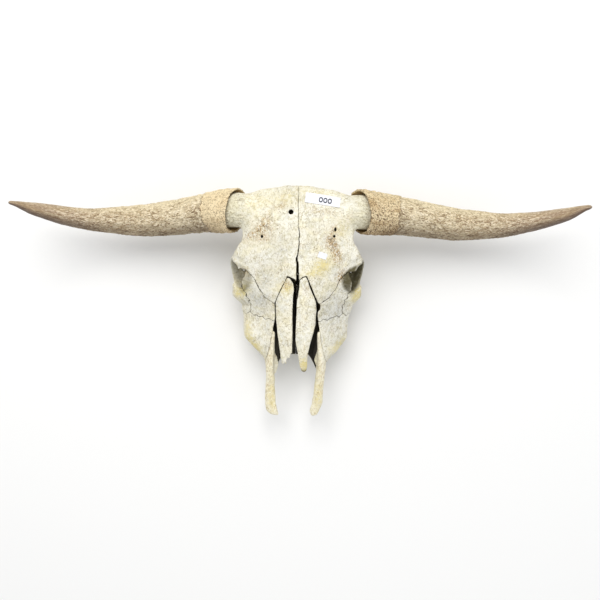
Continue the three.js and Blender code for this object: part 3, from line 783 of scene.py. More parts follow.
def bone_fields(full, shell):
    """One field of distances for each bone, by its node."""
    uneven = 1.3 * lattice(full.shape, 6.5, 31) + 0.9 * lattice(full.shape, 2.6, 32)
    wobble = Field(full.low, values=uneven)
    out, cracks = {}, {}
    # openings for the nasal bones and the premaxillae
    x, y, z = full.axes()
    plan = np.minimum(polygon(ROOMS[0], x, y), polygon(ROOMS[1], x, y))
    whole = grab(full, LOW, HIGH)
    whole.d = np.maximum(full.d, -np.maximum(plan + 0.35 * wobble.d, 96 - z))
    for side, sign in SIDES:
        out["premaxilla_" + side] = premaxilla(side, sign, whole)
        carve(whole, out["premaxilla_" + side])
    # bones of the roof and the cheeks
    for name, (low, high) in WINDOWS.items():
        for side, sign in SIDES:
            part = grab_side(whole, sign, low, high)
            jag = np.zeros(part.shape, np.float32)
            mine, theirs = shared(part, wobble)
            jag[mine] = wobble.d[theirs]
            px, py, pz = part.axes()
            part.d = np.maximum(part.d, region(name, px * sign, py, pz, jag))
            crack = None
            if name == "frontal":
                offset, half = midline_gap(px, py)
                crack = half - sign * (offset + 0.5 * jag)
                spike = np.asarray(sweep(0, CORE)[0](px * sign, py, pz), np.float32)
                grain = lattice(part.shape, [26, 3.2, 3.2], 61 + sign)
                grain = grain + 0.8 * lattice(part.shape, [11, 2, 2], 63)
                spike += 0.75 * grain * np.clip((px * sign - 90) / 30, 0, 1)
                part.d = smin(part.d, spike, 15)
            out[f"{name}_{side}"] = part
            cracks[side] = crack
        for side, _ in SIDES:
            part = out[f"{name}_{side}"]
            carve(whole, part)
            if cracks[side] is not None:
                part.d = np.maximum(part.d, cracks[side])
    # what is left is the face, the base and the back
    seam = 0.7 * wobble.d
    face = Field(full.low, values=np.maximum(whole.d, y - FACE_END + seam))
    for side, sign in SIDES:
        part = grab_side(face, sign, [-4, -168, -4], [124, 46, 190])
        part.d = np.maximum(part.d, 0.3 - sign * part.axes()[0])
        out["maxilla_" + side] = part
    base = np.maximum(whole.d, FACE_END + GAP - y - seam)
    out["sphenoid_palatine"] = Field(full.low, values=np.maximum(base, y - BASE_END + 1.4 * seam))
    out["occipital"] = Field(full.low, values=np.maximum(base, BASE_END + GAP - y - 1.4 * seam))
    for side, _ in SIDES:
        out["nasal_" + side] = nasal(side, shell)
    return out


SIDES = (("left", 1), ("right", -1))
WINDOWS = {
    # corners on the left-hand side
    "frontal": ([-10, -12, 84], [302, 246, 206]),
    "lacrimal": ([26, -46, 90], [126, 74, 182]),
    "zygomatic": ([82, -50, 50], [152, 118, 190]),
    "temporal": ([38, 96, 46], [152, 242, 180]),
}


# ---- Horn sheaths -------------------------------------------------------------------------

HORNS = {
    # x, y, z and radius of the outside
    "left": [
        [80, 192.5, 170, 47], [131, 192.5, 149, 46], [163, 190.5, 136, 44], [217, 187.5, 120, 40.5],
        [272, 181.5, 108, 38.5], [340, 174, 101, 35], [424, 172, 106, 26.5], [492, 179, 127, 20.5],
        [559, 193, 163, 13.5], [603, 206, 198, 4],
    ],
    "right": [
        [80, 191, 170, 47], [131, 191, 149, 46], [163, 190, 136, 43.5], [214, 185, 120, 40],
        [264, 178, 108, 38], [332, 170.5, 101, 34], [419, 169, 106, 26], [486, 174, 126, 20.5],
        [552, 186, 160, 13.5], [596, 195, 194, 4],
    ],
}
RIM_CENTRE = np.array([131.0, 192.0, 149.0])
RIM_OUT = np.array([0.885, 0.156, -0.438])  # square to the plane of the rim
SHEATH_WALL, SOCKET_END = 3.4, 322
HORN_STEP, HORN_AROUND = 1.1, 168  # length of a row, points in a row
HORN_SEED = {"left": 200, "right": 300}
BAND_END = {"left": 207, "right": 191}  # where the worn base ends
BAND_WORN = {"left": 1.0, "right": 0.62}
ALL_ROWS = 9999  # a size at which the noise is the same in every row
TIP_ROUND, SOCKET_ROUND = 7, 22  # lengths of the rounded ends


def wrapped(rows, around, size, many, seed):
    """Noise in -1..1 over a tube: `size` rows long and `many` times round, joined at the seam."""
    rng = np.random.default_rng(seed)
    coarse = rng.uniform(-1, 1, (int(rows / size) + 3, many))
    at = np.arange(rows) / size
    i = at.astype(int)
    f = ease(at - i)[:, None]
    long = coarse[i] * (1 - f) + coarse[i + 1] * f
    at = np.arange(around) / around * many
    i = at.astype(int)
    f = ease(at - i)[None, :]
    return long[:, i % many] * (1 - f) + long[:, (i + 1) % many] * f


def dome(t):
    """Share of the radius lost at a rounded end, with t from 0 to 1."""
    return 1 - np.sqrt(1 - t**2 * 0.998)


def horn_points(keys, x, radius_change, theta):
    """Points of the horn's skin at x, for angles theta and a change of radius."""
    x, theta = np.broadcast_arrays(x, theta)
    tip = keys[-1][0]
    y, z, radius = columns(keys, x)
    ahead, behind = columns(keys, np.minimum(x + 2, tip)), columns(keys, x - 2)
    t = np.stack([4.0 - np.maximum(x + 2 - tip, 0), ahead[0] - behind[0], ahead[1] - behind[1]], -1)
    t /= np.linalg.norm(t, axis=-1, keepdims=True)
    side = np.stack([-t[..., 1], t[..., 0], 0 * t[..., 0]], -1)
    side /= np.linalg.norm(side, axis=-1, keepdims=True)
    spoke = np.cos(theta)[..., None] * side + np.sin(theta)[..., None] * np.cross(t, side)
    return np.stack([x, y, z], -1) + (radius + radius_change)[..., None] * spoke


def rim_line(keys, theta, rough):
    """Where each line along the horn meets its slanting rim."""
    x = np.full(theta.shape, RIM_CENTRE[0])
    for _ in range(14):
        away = (horn_points(keys, x, 0, theta) - RIM_CENTRE) @ RIM_OUT - rough
        x = np.clip(x - away / RIM_OUT[0] * 0.8, 84, 200)
    return x


def horn_relief(side, x, seed):
    """Change of radius over the outside of a sheath, the end of its worn base, and its flakes."""
    keys = HORNS[side]
    rows, m = x.shape
    tip = keys[-1][0]
    band = BAND_END[side] + 7 * wrapped(rows, m, ALL_ROWS, 7, seed + 3)
    band = band + 3.4 * wrapped(rows, m, ALL_ROWS, 23, seed + 4)
    band = band + 1.8 * wrapped(rows, m, ALL_ROWS, 60, seed + 5)
    base = 1 - ease((x - 150) / 230)
    end = 1 - ease((x - 430) / 150)
    rings = lattice((rows,), 7, seed + 6, HORN_STEP) + 0.7 * lattice((rows,), 3.4, seed + 7, HORN_STEP)
    swirl = (2.6 * wrapped(rows, m, 26, 7, seed + 8)).round().astype(int)
    rings = rings[np.clip(np.arange(rows)[:, None] + swirl, 0, rows - 1)]
    change = (
        1.0 * wrapped(rows, m, 50, 5, seed + 9)
        + (0.75 * base + 0.1) * rings
        + (0.45 * end + 0.1) * wrapped(rows, m, 34, 62, seed + 10)
        + (0.34 * end + 0.04) * wrapped(rows, m, 12, 84, seed + 11)
        + 1.3 * (1 - ease((x - band) / 2.6))
    )
    flakes = wrapped(rows, m, 9, 34, seed + 12) + 0.5 * wrapped(rows, m, 4, 60, seed + 13)
    flakes = ease((x - band) / 30) * (1 - ease((x - 380) / 130)) * ease((flakes - 0.12) / 0.22)
    change -= 0.55 * flakes
    change += (0.10 + 0.30 * end) * wrapped(rows, m, 3, 84, seed + 14)
    close = np.clip((x - (tip - TIP_ROUND)) / TIP_ROUND, 0, 1)
    change = change * (1 - close) - columns(keys, x)[2] * dome(close)
    return change, band, flakes


def horn_sheath(side):
    """Points, quads and values of a sheath: from the end of its socket, out and on to the tip."""
    keys = HORNS[side]
    seed = HORN_SEED[side]
    m = HORN_AROUND
    theta = np.arange(m) / m * 2 * math.pi
    tip = keys[-1][0]
    rough = 1.6 * wrapped(2, m, 1, 9, seed)[0] + 1.0 * wrapped(2, m, 1, 31, seed + 1)[0]
    rough = rough + 0.6 * wrapped(2, m, 1, 70, seed + 2)[0]
    start = rim_line(keys, theta, rough)
    rows = int((tip - RIM_CENTRE[0]) / HORN_STEP)
    x = start + (tip - start) * np.linspace(0, 1, rows)[:, None]
    change, band, flakes = horn_relief(side, x, seed)
    outside = horn_points(keys, x, change, theta[None, :])
    # the socket
    inner_rows = int((SOCKET_END - RIM_CENTRE[0]) / HORN_STEP / 1.6)
    xi = start + 0.3 + (SOCKET_END - start) * np.linspace(1, 0, inner_rows)[:, None]
    shut = np.clip((xi - (SOCKET_END - SOCKET_ROUND)) / SOCKET_ROUND, 0, 1)
    wall = SHEATH_WALL + 0.25 * wrapped(inner_rows, m, 20, 12, seed + 15)
    dent = -wall - (columns(keys, xi)[2] - wall) * dome(shut)
    inside = horn_points(keys, xi, dent, theta[None, :])
    # the rounded rim: how far it stands out, its depth in the wall and its share of the relief
    edge = [
        horn_points(keys, start - out, -SHEATH_WALL * depth + change[0] * share, theta)
        for out, depth, share in ((0.7, 0.75, 0), (1.0, 0.5, 0.5), (0.7, 0.2, 1))
    ]
    points = np.concatenate([inside, np.array(edge), outside])
    n = len(points)
    flat = points.reshape(-1, 3)
    caps = [flat[:m].mean(axis=0), flat[-m:].mean(axis=0)]
    flat = np.concatenate([flat, caps])
    k = np.arange(0, m, 2)
    first = np.stack([np.full(m // 2, len(flat) - 2), (k + 2) % m, k + 1, k], -1)
    last = np.stack([np.full(m // 2, len(flat) - 1), k, k + 1, (k + 2) % m], -1)
    last[:, 1:] += (n - 1) * m
    quads = np.concatenate([ring_faces(n, m), first, last])
    # values, with those of the two caps last
    skipped = np.zeros((inner_rows + 3) * m)
    all_x = np.concatenate([xi, np.tile(start, (3, 1)), x]).ravel()
    angle = np.tile(theta, n)
    inner = np.repeat([1.0, 0.4, 0.0], [inner_rows * m, 3 * m, rows * m])
    # under: where the painted shade goes, on the side away from the key light (-y), growing from the base
    # outwards
    under = 0.85 * ease((0.1 - np.cos(angle)) / 1.1) * ease((all_x - 120) / 100)
    values = {
        "run": np.append(all_x, [SOCKET_END, tip]) / 1000,
        "round_x": np.append(np.cos(angle), [0, 0]),
        "round_y": np.append(np.sin(angle), [0, 0]),
        "worn": np.full(n * m + 2, BAND_WORN[side]),
        "under": np.append(under, [0, 0]),
        "inner": np.append(inner, [1, 0]),
        "step": np.concatenate([skipped, (x - band).ravel(), [0, 300]]) / 1000,
        "flake": np.concatenate([skipped, flakes.ravel(), [0, 0]]),
    }
    if side == "right":
        flat = flat * [-1, 1, 1]
        quads = quads[:, ::-1]
    return flat, quads, values


# ---- Paper slips --------------------------------------------------------------------------

PAPER_STEP, PAPER_THICK = 0.5, 0.45


def top_of(field, px, py, low=120, high=204):
    """Height of the uppermost surface of a field over plan points."""
    found = np.full(len(px), np.nan)
    previous = np.full(len(px), -1.0)
    for z in np.arange(high, low, -0.5):
        d = field.at(np.stack([px, py, np.full(len(px), z)], -1))
        hit = np.isnan(found) & (d < 0) & (previous >= 0)
        found[hit] = z + 0.5 * (-d[hit]) / np.maximum(previous[hit] - d[hit], 1e-6)
        previous = d
    return np.fmax(found, low)


def paper(centre, size, turn, field, lift, seed):
    """A thin slip that lies on the bone: points, quads and its own coordinates."""
    nu, nv = (int(length / PAPER_STEP) + 1 for length in size)
    u, v = np.meshgrid(*(np.linspace(-a / 2, a / 2, n) for a, n in zip(size, (nu, nv))), indexing="ij")
    c, s = math.cos(math.radians(turn)), math.sin(math.radians(turn))
    px, py = centre[0] + c * u - s * v, centre[1] + s * u + c * v
    # a smooth surface fitted to the bone, raised until it clears it
    coarse = (slice(None, None, 6), slice(None, None, 6))
    heights = top_of(field, px[coarse].ravel(), py[coarse].ravel())
    powers = [(u / 40) ** i * (v / 20) ** j for i in range(5) for j in range(4) if i + j < 6]
    basis = np.stack([p[coarse].ravel() for p in powers], -1)
    fit = np.linalg.lstsq(basis, heights, rcond=None)[0]
    smooth = sum(k * p for k, p in zip(fit, powers))
    gap = (heights - basis @ fit).max()
    edge_u, edge_v = np.abs(u) / (size[0] / 2), np.abs(v) / (size[1] / 2)
    curl = lift * (edge_u * edge_v) ** 5 + 0.12 * lattice(u.shape, 9, seed, PAPER_STEP)
    z = smooth + gap + 0.15 + np.maximum(curl, 0)
    n = nu * nv
    top = np.stack([px, py, z + PAPER_THICK], -1).reshape(-1, 3)
    bottom = np.stack([px, py, z], -1).reshape(-1, 3)
    i = (np.arange(nu - 1)[:, None] * nv + np.arange(nv - 1)[None, :]).ravel()
    upper = np.stack([i, i + nv, i + nv + 1, i + 1], -1)
    loop = np.concatenate([np.arange(nv), np.arange(1, nu) * nv + nv - 1,
                           (nu - 1) * nv + np.arange(nv - 2, -1, -1), np.arange(nu - 2, 0, -1) * nv])
    after = np.roll(loop, -1)
    border = np.stack([loop, after, after + n, loop + n], -1)
    quads = np.concatenate([upper, upper[:, ::-1] + n, border])
    return np.concatenate([top, bottom]), quads, np.tile(u.ravel(), 2), np.tile(v.ravel(), 2)


# ---- Values on the meshes -----------------------------------------------------------------


def blurred(values, radius):
    """Box average over a cube, with repeated edges."""
    k = max(1, int(round(radius / CELL)))
    out = values
    for axis in range(3):
        padded = np.concatenate([np.repeat(np.take(out, [0], axis), k + 1, axis), out,
                                 np.repeat(np.take(out, [-1], axis), k, axis)], axis)
        total = np.cumsum(padded, axis=axis, dtype=np.float32)
        n = out.shape[axis]
        ahead = np.take(total, np.arange(2 * k + 1, 2 * k + 1 + n), axis)
        out = (ahead - np.take(total, np.arange(n), axis)) / (2 * k + 1)
    return out


STAINS = {
    # x, y, half-length, half-width, turn, strength
    "rust": [
        [-70, 158, 26, 10, 68, 0.9], [-82, 148, 24, 7, 48, 0.8], [-96, 138, 20, 6, 35, 0.8],
        [-72, 130, 13, 8, 0, 0.7], [-56, 150, 14, 6, 120, 0.5], [74, 114, 26, 9, 112, 1.5],
        [82, 98, 12, 7, 100, 1.5], [70, 126, 10, 9, 90, 1.5], [92, 57, 13, 9, 60, 1.2],
        [-22, 36, 9, 8, 0, 1.0], [-109, 62, 8, 8, 0, 1.0], [-38, 196, 10, 4, 10, 0.6],
        [48, 188, 28, 6, -10, 0.6], [77, 150, 9, 9, 0, 0.8], [-30, 205, 12, 5, 100, 0.4],
        [22, 30, 8, 6, 0, 0.4],
    ],
    "yellow": [
        [52, 77, 19, 15, 20, 1.0], [-119, 23, 15, 11, 60, 1.6], [19, -138, 18, 10, 100, 1.5],
        [30, 60, 16, 10, 0, 0.5], [-30, 215, 70, 18, 0, 0.3], [50, 228, 50, 10, -8, 0.3],
        [128, 20, 16, 11, 70, 1.3], [-92, -92, 26, 9, 135, 0.9], [92, -92, 26, 9, 45, 0.7],
        [-50, -205, 50, 12, 90, 0.8], [49, -200, 50, 12, 90, 0.7], [-104, -60, 26, 8, 90, 0.6],
        [-22, 30, 16, 12, 0, 0.7], [92, 150, 20, 14, 60, 0.4], [-100, 196, 20, 20, 0, 0.3],
    ],
    "cool": [
        [-64, 82, 34, 28, 50, 0.5], [-80, -2, 38, 28, 30, 0.9], [80, -8, 38, 28, -30, 1.0],
        [62, -30, 24, 18, 0, 0.8], [30, 168, 20, 26, 0, 0.25], [118, 70, 34, 14, 80, 0.5],
        [-120, 96, 24, 10, 100, 0.5], [-30, 120, 24, 30, 0, 0.25], [90, -70, 26, 30, 90, 0.6],
        [60, 60, 26, 30, 0, 0.25], [10, 226, 100, 22, 0, 0.5],
    ],
}


def stain(kind, p):
    """Strength of a kind of stain at each point, from above."""
    total = np.zeros(len(p))
    for x, y, long, wide, turn, strength in STAINS[kind]:
        c, s = math.cos(math.radians(turn)), math.sin(math.radians(turn))
        dx, dy = p[:, 0] - x, p[:, 1] - y
        a, b = (dx * c + dy * s) / long, (dy * c - dx * s) / wide
        total += strength * np.exp(-(a * a + b * b))
    return total


def cave(name, p, hull):
    """How deep a point lies in the nasal cavity and in the four deep holes, for the near-black painted
    shadow there.
    """
    if name.startswith(("premaxilla", "occipital", "temporal")):
        return np.zeros(len(p))
    wide, low = columns(CAVITY, p[:, 1])
    roof = columns(ROOF, p[:, 1])[1]
    deep = ease((wide + 4 - np.abs(p[:, 0])) / 3) * ease((62 - p[:, 1]) / 8) * ease((p[:, 1] + 158) / 12)
    deep = deep * ease((p[:, 2] - low + 4) / 3)
    if name.startswith("nasal"):
        deep = deep * ease((-hull - 3) / 6)
    else:
        deep = deep * ease((roof - p[:, 2] - 14) / 18)
    for (x, y, _), radii in HOLES[:4]:
        away = np.hypot(p[:, 0] - x, p[:, 1] - y) - max(radii[:2])
        deep = np.maximum(deep, ease((2.2 - away) / 1.5) * ease((-hull - 1.6) / 2) * (p[:, 2] > 150))
    return deep


def socket(p):
    """How deep a point lies in an orbit, for the dirt and painted shade there; the left-hand one is
    darker.
    """
    v = np.stack([np.abs(p[:, 0]), p[:, 1], p[:, 2]], -1) - EYE
    depth = -(v @ EYE_OUT)
    away = np.linalg.norm(v + depth[:, None] * EYE_OUT, axis=1)
    strength = np.where(p[:, 0] > 0, 1.2, 0.58)
    return strength * ease((depth + 7) / 11) * ease((39.5 - away) / 4)


def bone_values(name, points, part, full, shell, crowns, wide_blur):
    """Numbers that the bone's colour depends on, at each point."""
    x, y, z = np.abs(points[:, 0]), points[:, 1], points[:, 2]
    inside = x < HIGH[0] - 2  # beyond it there is only horn core
    near = np.where(inside, full.at(points), 3.0)
    hull = np.where(inside, shell.at(points), 0.0)
    broad = np.where(inside, wide_blur.at(points), 0.0)
    fine = Field(part.low, values=blurred(np.clip(part.d, -6, 6), 2.4))
    healed = ease((y - 135) / 30) * ease((9 - x) / 3)
    values = {
        "seam": np.clip(-near / 1.6, 0, 1) * (1 - 0.7 * healed),
        "edge": np.clip(fine.at(points) / 1.2, -1, 1),
        "hollow": np.clip(-broad / 3.5, -1, 1),
        # inside: dust and painted shade; cave: painted shadow; socket: dirt and painted shade
        "inside": np.clip((-hull - 6) / 34, 0, 1),
        "cave": cave(name, points, hull),
        "socket": socket(points),
        "enamel": ease((1.3 - crowns.at(points)) / 1.1) * ease((44 - z) / 8) * inside,
        "core": ease((x - 98) / 36) * ease((y - 140) / 14) * name.startswith("frontal"),
        "bleached": np.full(len(points), float(name.startswith("premaxilla"))),
        "flow": ease((x - 40) / 50) * ease((y - 120) / 50),
    }
    outer = ease((hull + 9) / 6)
    if name.startswith(("nasal", "premaxilla")):
        # these stand free, so they get no seams, no darker hollows and none of the dust and painted shade
        # of the skull's inside
        values.update(dict.fromkeys(("seam", "hollow", "inside"), 0 * near))
        outer = np.ones(len(points))
    for kind in STAINS:
        values[kind] = stain(kind, points) * outer * ease((z - 60) / 30)
    return values


def build_bones():
    """The bones with their values, and the field that the paper slips lie on."""
    full, shell, crowns = whole_skull()
    fields = bone_fields(full, shell)
    wide_blur = Field(full.low, values=blurred(np.clip(full.d, -14, 14), 9))
    pieces = []
    for name, part in fields.items():
        points, quads = surface(part)
        obj = object_from("bone_" + name, points, quads)
        for key, value in bone_values(name, points, part, full, shell, crowns, wide_blur).items():
            attribute(obj, key, value)
        pieces.append((obj, name, "bone"))
    return pieces, fields["frontal_left"]


# ---- Materials ----------------------------------------------------------------------------


def srgb(r, g, b):
    return tuple(((c / 255 + 0.055) / 1.055) ** 2.4 for c in (r, g, b)) + (1.0,)


class Look:
    """A material and short ways to add its nodes."""

    def __init__(self, name):
        self.material = bpy.data.materials.new(name)
        self.material.use_nodes = True
        self.tree = self.material.node_tree
        self.place = self.node("TexCoord", "Object")
        self.colour = None

    def fill(self, node, values):
        """Link or set the inputs of a node."""
        for key, value in values.items():
            if isinstance(value, bpy.types.NodeSocket):
                self.tree.links.new(value, node.inputs[key])
            else:
                node.inputs[key].default_value = value

    def node(self, kind, out, values=(), **settings):
        """One output of a new node, with these values of its inputs and these settings."""
        made = self.tree.nodes.new("ShaderNode" + kind)
        for key, value in settings.items():
            setattr(made, key, value)
        self.fill(made, dict(values))
        return made.outputs[out]

    def value(self, name):
        """A value of the mesh."""
        return self.node("Attribute", "Fac", attribute_name=name)

    def math(self, kind, *values):
        return self.node("Math", 0, enumerate(values), operation=kind)

    def times(self, a, b):
        return self.math("MULTIPLY", a, b)

    def span(self, value, low, high, to_low=0.0, to_high=1.0):
        """A smooth step of a value, from one range to another."""
        names = ("Value", "From Min", "From Max", "To Min", "To Max")
        numbers = (value, low, high, to_low, to_high)
        return self.node("MapRange", "Result", zip(names, numbers), interpolation_type="SMOOTHSTEP")

    def stretched(self, scale, vector=None):
        vector = self.place if vector is None else vector
        return self.node("Mapping", "Vector", {"Vector": vector, "Scale": scale})

    def noise(self, scale, detail=3.0, rough=0.55, vector=None, warp=0.0, out="Fac"):
        values = {"Vector": self.place if vector is None else vector, "Scale": scale,
                  "Detail": detail, "Roughness": rough, "Distortion": warp}
        return self.node("TexNoise", out, values)

    def cells(self, scale, vector, warp):
        """Distance to the edges of a cracked pattern."""
        drift = self.noise(scale * 1.4, 3.0, 0.5, vector, out="Color")
        push = self.node("VectorMath", 0, {0: drift, "Scale": warp / scale}, operation="SCALE")
        place = self.node("VectorMath", 0, {0: vector, 1: push}, operation="ADD")
        values = {"Vector": place, "Scale": scale}
        return self.node("TexVoronoi", "Distance", values, feature="DISTANCE_TO_EDGE")

    def dots(self, scale):
        """Distance to the middles of scattered dots."""
        return self.node("TexVoronoi", "Distance", {"Vector": self.place, "Scale": scale}, feature="F1")

    def joined(self, *values):
        """A vector from three numbers."""
        return self.node("CombineXYZ", 0, enumerate(values))

    def mix(self, factor, a, b, kind="MIX"):
        """A blend of two colours. A factor may be the numbers of a span, and a colour 8-bit sRGB."""
        a, b = (srgb(*c) if isinstance(c, tuple) and len(c) == 3 else c for c in (a, b))
        factor = self.span(*factor) if isinstance(factor, tuple) else factor
        return self.node("Mix", 2, {0: factor, 6: a, 7: b}, data_type="RGBA", blend_type=kind)

    def blend(self, factor, a, b):
        return self.node("Mix", 0, {0: factor, 2: a, 3: b}, data_type="FLOAT")

    def paint(self, *layers, kind="MIX"):
        """Lay (factor, colour) over the colour so far, one after the other."""
        for factor, colour in layers:
            self.colour = self.mix(factor, self.colour, colour, kind)

    def finish(self, roughness, heights, specular=0.5):
        """Set the shader. Heights are a chain of bumps: (height, distance in metres, strength)."""
        normal = {}
        for height, distance, strength in heights:
            values = {"Height": height, "Distance": distance, "Strength": strength, **normal}
            normal = {"Normal": self.node("Bump", "Normal", values)}
        values = {"Base Color": self.colour, "Roughness": roughness, "Specular IOR Level": specular}
        self.fill(self.tree.nodes["Principled BSDF"], {**values, **normal})
        return self.material


def bone_look():
    k = Look("bone")
    times, span, noise, value = k.times, k.span, k.noise, k.value
    # fibres run along the face, and along the horn cores where "flow" is 1
    flow = value("flow")
    fine_y = noise(620, 4, 0.6, k.stretched((1, 0.14, 0.8)), 0.6)
    fine_x = noise(620, 4, 0.6, k.stretched((0.16, 1, 0.8)), 0.6)
    fibre = k.blend(flow, fine_y, fine_x)
    long_y = noise(250, 4, 0.66, k.stretched((1, 0.26, 1)), 1.6)
    long_x = noise(250, 4, 0.66, k.stretched((0.26, 1, 1)), 1.6)
    strand = k.blend(flow, long_y, long_x)
    area = span(noise(26, 3, 0.6, warp=0.8), 0.38, 0.62, 0.3, 1.0)
    patch = noise(14, 3, 0.55)
    blotch = noise(48, 4, 0.6, warp=0.5)
    mottle = noise(135, 5, 0.68, warp=0.6)
    speck = noise(300, 4, 0.7, warp=0.4)
    grit = noise(1000, 2, 0.6)
    tint = noise(33, 3, 0.55, k.stretched((1, 1, 0.9)), 0.9)
    line = span(k.cells(95, k.stretched((1, 0.62, 1)), 0.5), 0.0, 0.045, 1.0, 0.0)
    line = times(line, span(noise(60, 4, 0.65), 0.46, 0.62))
    pore = times(span(k.dots(260), 0.12, 0.24, 1.0, 0.0), span(noise(38, 3), 0.5, 0.66))

    k.colour = k.mix((patch, 0.38, 0.64), (248, 245, 231), (240, 235, 215))
    k.paint(
        ((blotch, 0.54, 0.7, 0, 0.6), (240, 228, 204)),
        ((blotch, 0.45, 0.3, 0, 0.7), (224, 222, 206)),
        ((tint, 0.53, 0.66, 0, 0.75), (229, 228, 217)),
        ((tint, 0.46, 0.34, 0, 0.6), (244, 236, 204)),
        ((mottle, 0.5, 0.62, 0, 0.7), (211, 205, 175)),
        ((mottle, 0.46, 0.32, 0, 0.5), (252, 250, 240)),
        (times(span(strand, 0.53, 0.64, 0, 0.8), area), (190, 178, 144)),
        (times(span(speck, 0.55, 0.66, 0, 0.9), area), (152, 138, 103)),
        ((fibre, 0.52, 0.72, 0, 0.55), (182, 171, 138)),
        (times(line, 0.42), (140, 120, 88)),
        (times(pore, 0.7), (112, 90, 58)),
    )
    # cool, flaking patches
    cool = k.math("MINIMUM", times(value("cool"), span(blotch, 0.3, 0.6, 0.4, 1.0)), 1.0)
    k.paint((cool, (0.78, 0.80, 0.85, 1)), kind="MULTIPLY")
    flaky = span(noise(210, 5, 0.75, k.stretched((1, 0.6, 1)), 1.5), 0.52, 0.6)
    k.paint((times(times(cool, flaky), 0.5), (150, 140, 116)))
    # yellow stains with rough edges, and rust in short streaks and scratches
    rough_edge = span(noise(150, 5, 0.72, warp=1.2), 0.36, 0.62)
    yellow = times(value("yellow"), k.math("MULTIPLY_ADD", rough_edge, 1.1, 0.12))
    rust = value("rust")
    streak = noise(330, 5, 0.74, k.stretched((1, 0.55, 1)), 1.4)
    scratch = span(k.cells(130, k.stretched((1, 0.5, 1)), 0.9), 0.0, 0.07, 1.0, 0.0)
    scratch = times(scratch, k.math("MINIMUM", rust, 1.0))
    k.paint(
        (k.math("MINIMUM", yellow, 0.82), (224, 208, 138)),
        (k.math("MINIMUM", times(rust, span(streak, 0.47, 0.58)), 0.8), (192, 154, 86)),
        (k.math("MINIMUM", times(rust, span(streak, 0.54, 0.64)), 0.8), (112, 82, 42)),
        (times(scratch, 0.6), (92, 66, 36)),
    )
    # the horn cores, and the premaxillae made paler with brown streaks
    core = k.mix((speck, 0.42, 0.64), (226, 221, 194), (164, 152, 112))
    bleached = value("bleached")
    brown = times(times(bleached, span(fine_y, 0.5, 0.62, 0, 0.7)), span(blotch, 0.4, 0.6))
    k.paint(
        (times(value("core"), 0.62), core),
        (times(bleached, 0.25), (253, 242, 208)),
        (brown, (176, 152, 98)),
    )
    # darker in hollows and pits; dust and painted shade inside the skull; dirt and painted shade in the
    # orbits; dark sutures; and a near-black painted shadow deep in the nose and the deep holes
    pit = span(times(value("edge"), -1.0), 0.14, 0.6, 0, 0.75)
    faint = span(noise(70, 4, 0.6), 0.35, 0.6, 0.62, 0.95)
    k.paint(
        ((value("hollow"), 0.08, 0.7, 0, 0.5), (164, 150, 112)),
        (pit, (118, 94, 58)),
        (times(value("inside"), span(blotch, 0.25, 0.7, 1.0, 0.7)), (120, 108, 76)),
        (times(value("socket"), span(mottle, 0.3, 0.7, 1.0, 0.72)), (90, 84, 58)),
        (times(span(value("seam"), 0.08, 0.6), faint), (74, 60, 38)),
        ((value("cave"), 0.1, 1.0, 0, 0.97), (30, 25, 16)),
    )
    # teeth
    enamel = value("enamel")
    band = noise(240, 3, 0.6, k.stretched((1, 1, 0.12)))
    tooth = k.mix((band, 0.38, 0.66, 0, 0.75), (240, 231, 206), (192, 167, 124))
    tooth = k.mix((mottle, 0.52, 0.7, 0, 0.5), tooth, (146, 116, 76))
    k.paint((enamel, tooth))
    return k.finish(
        k.blend(enamel, span(speck, 0.3, 0.7, 0.62, 0.8), 0.38),
        [
            (blotch, 0.004, 0.35), (mottle, 0.0026, 0.5), (strand, 0.0018, 0.5),
            (fibre, 0.0012, 0.5), (speck, 0.0014, 0.5), (grit, 0.0005, 0.4),
            (times(line, -1.0), 0.0007, 0.7), (times(pore, -1.0), 0.0009, 0.7),
        ],
        specular=0.3,
    )


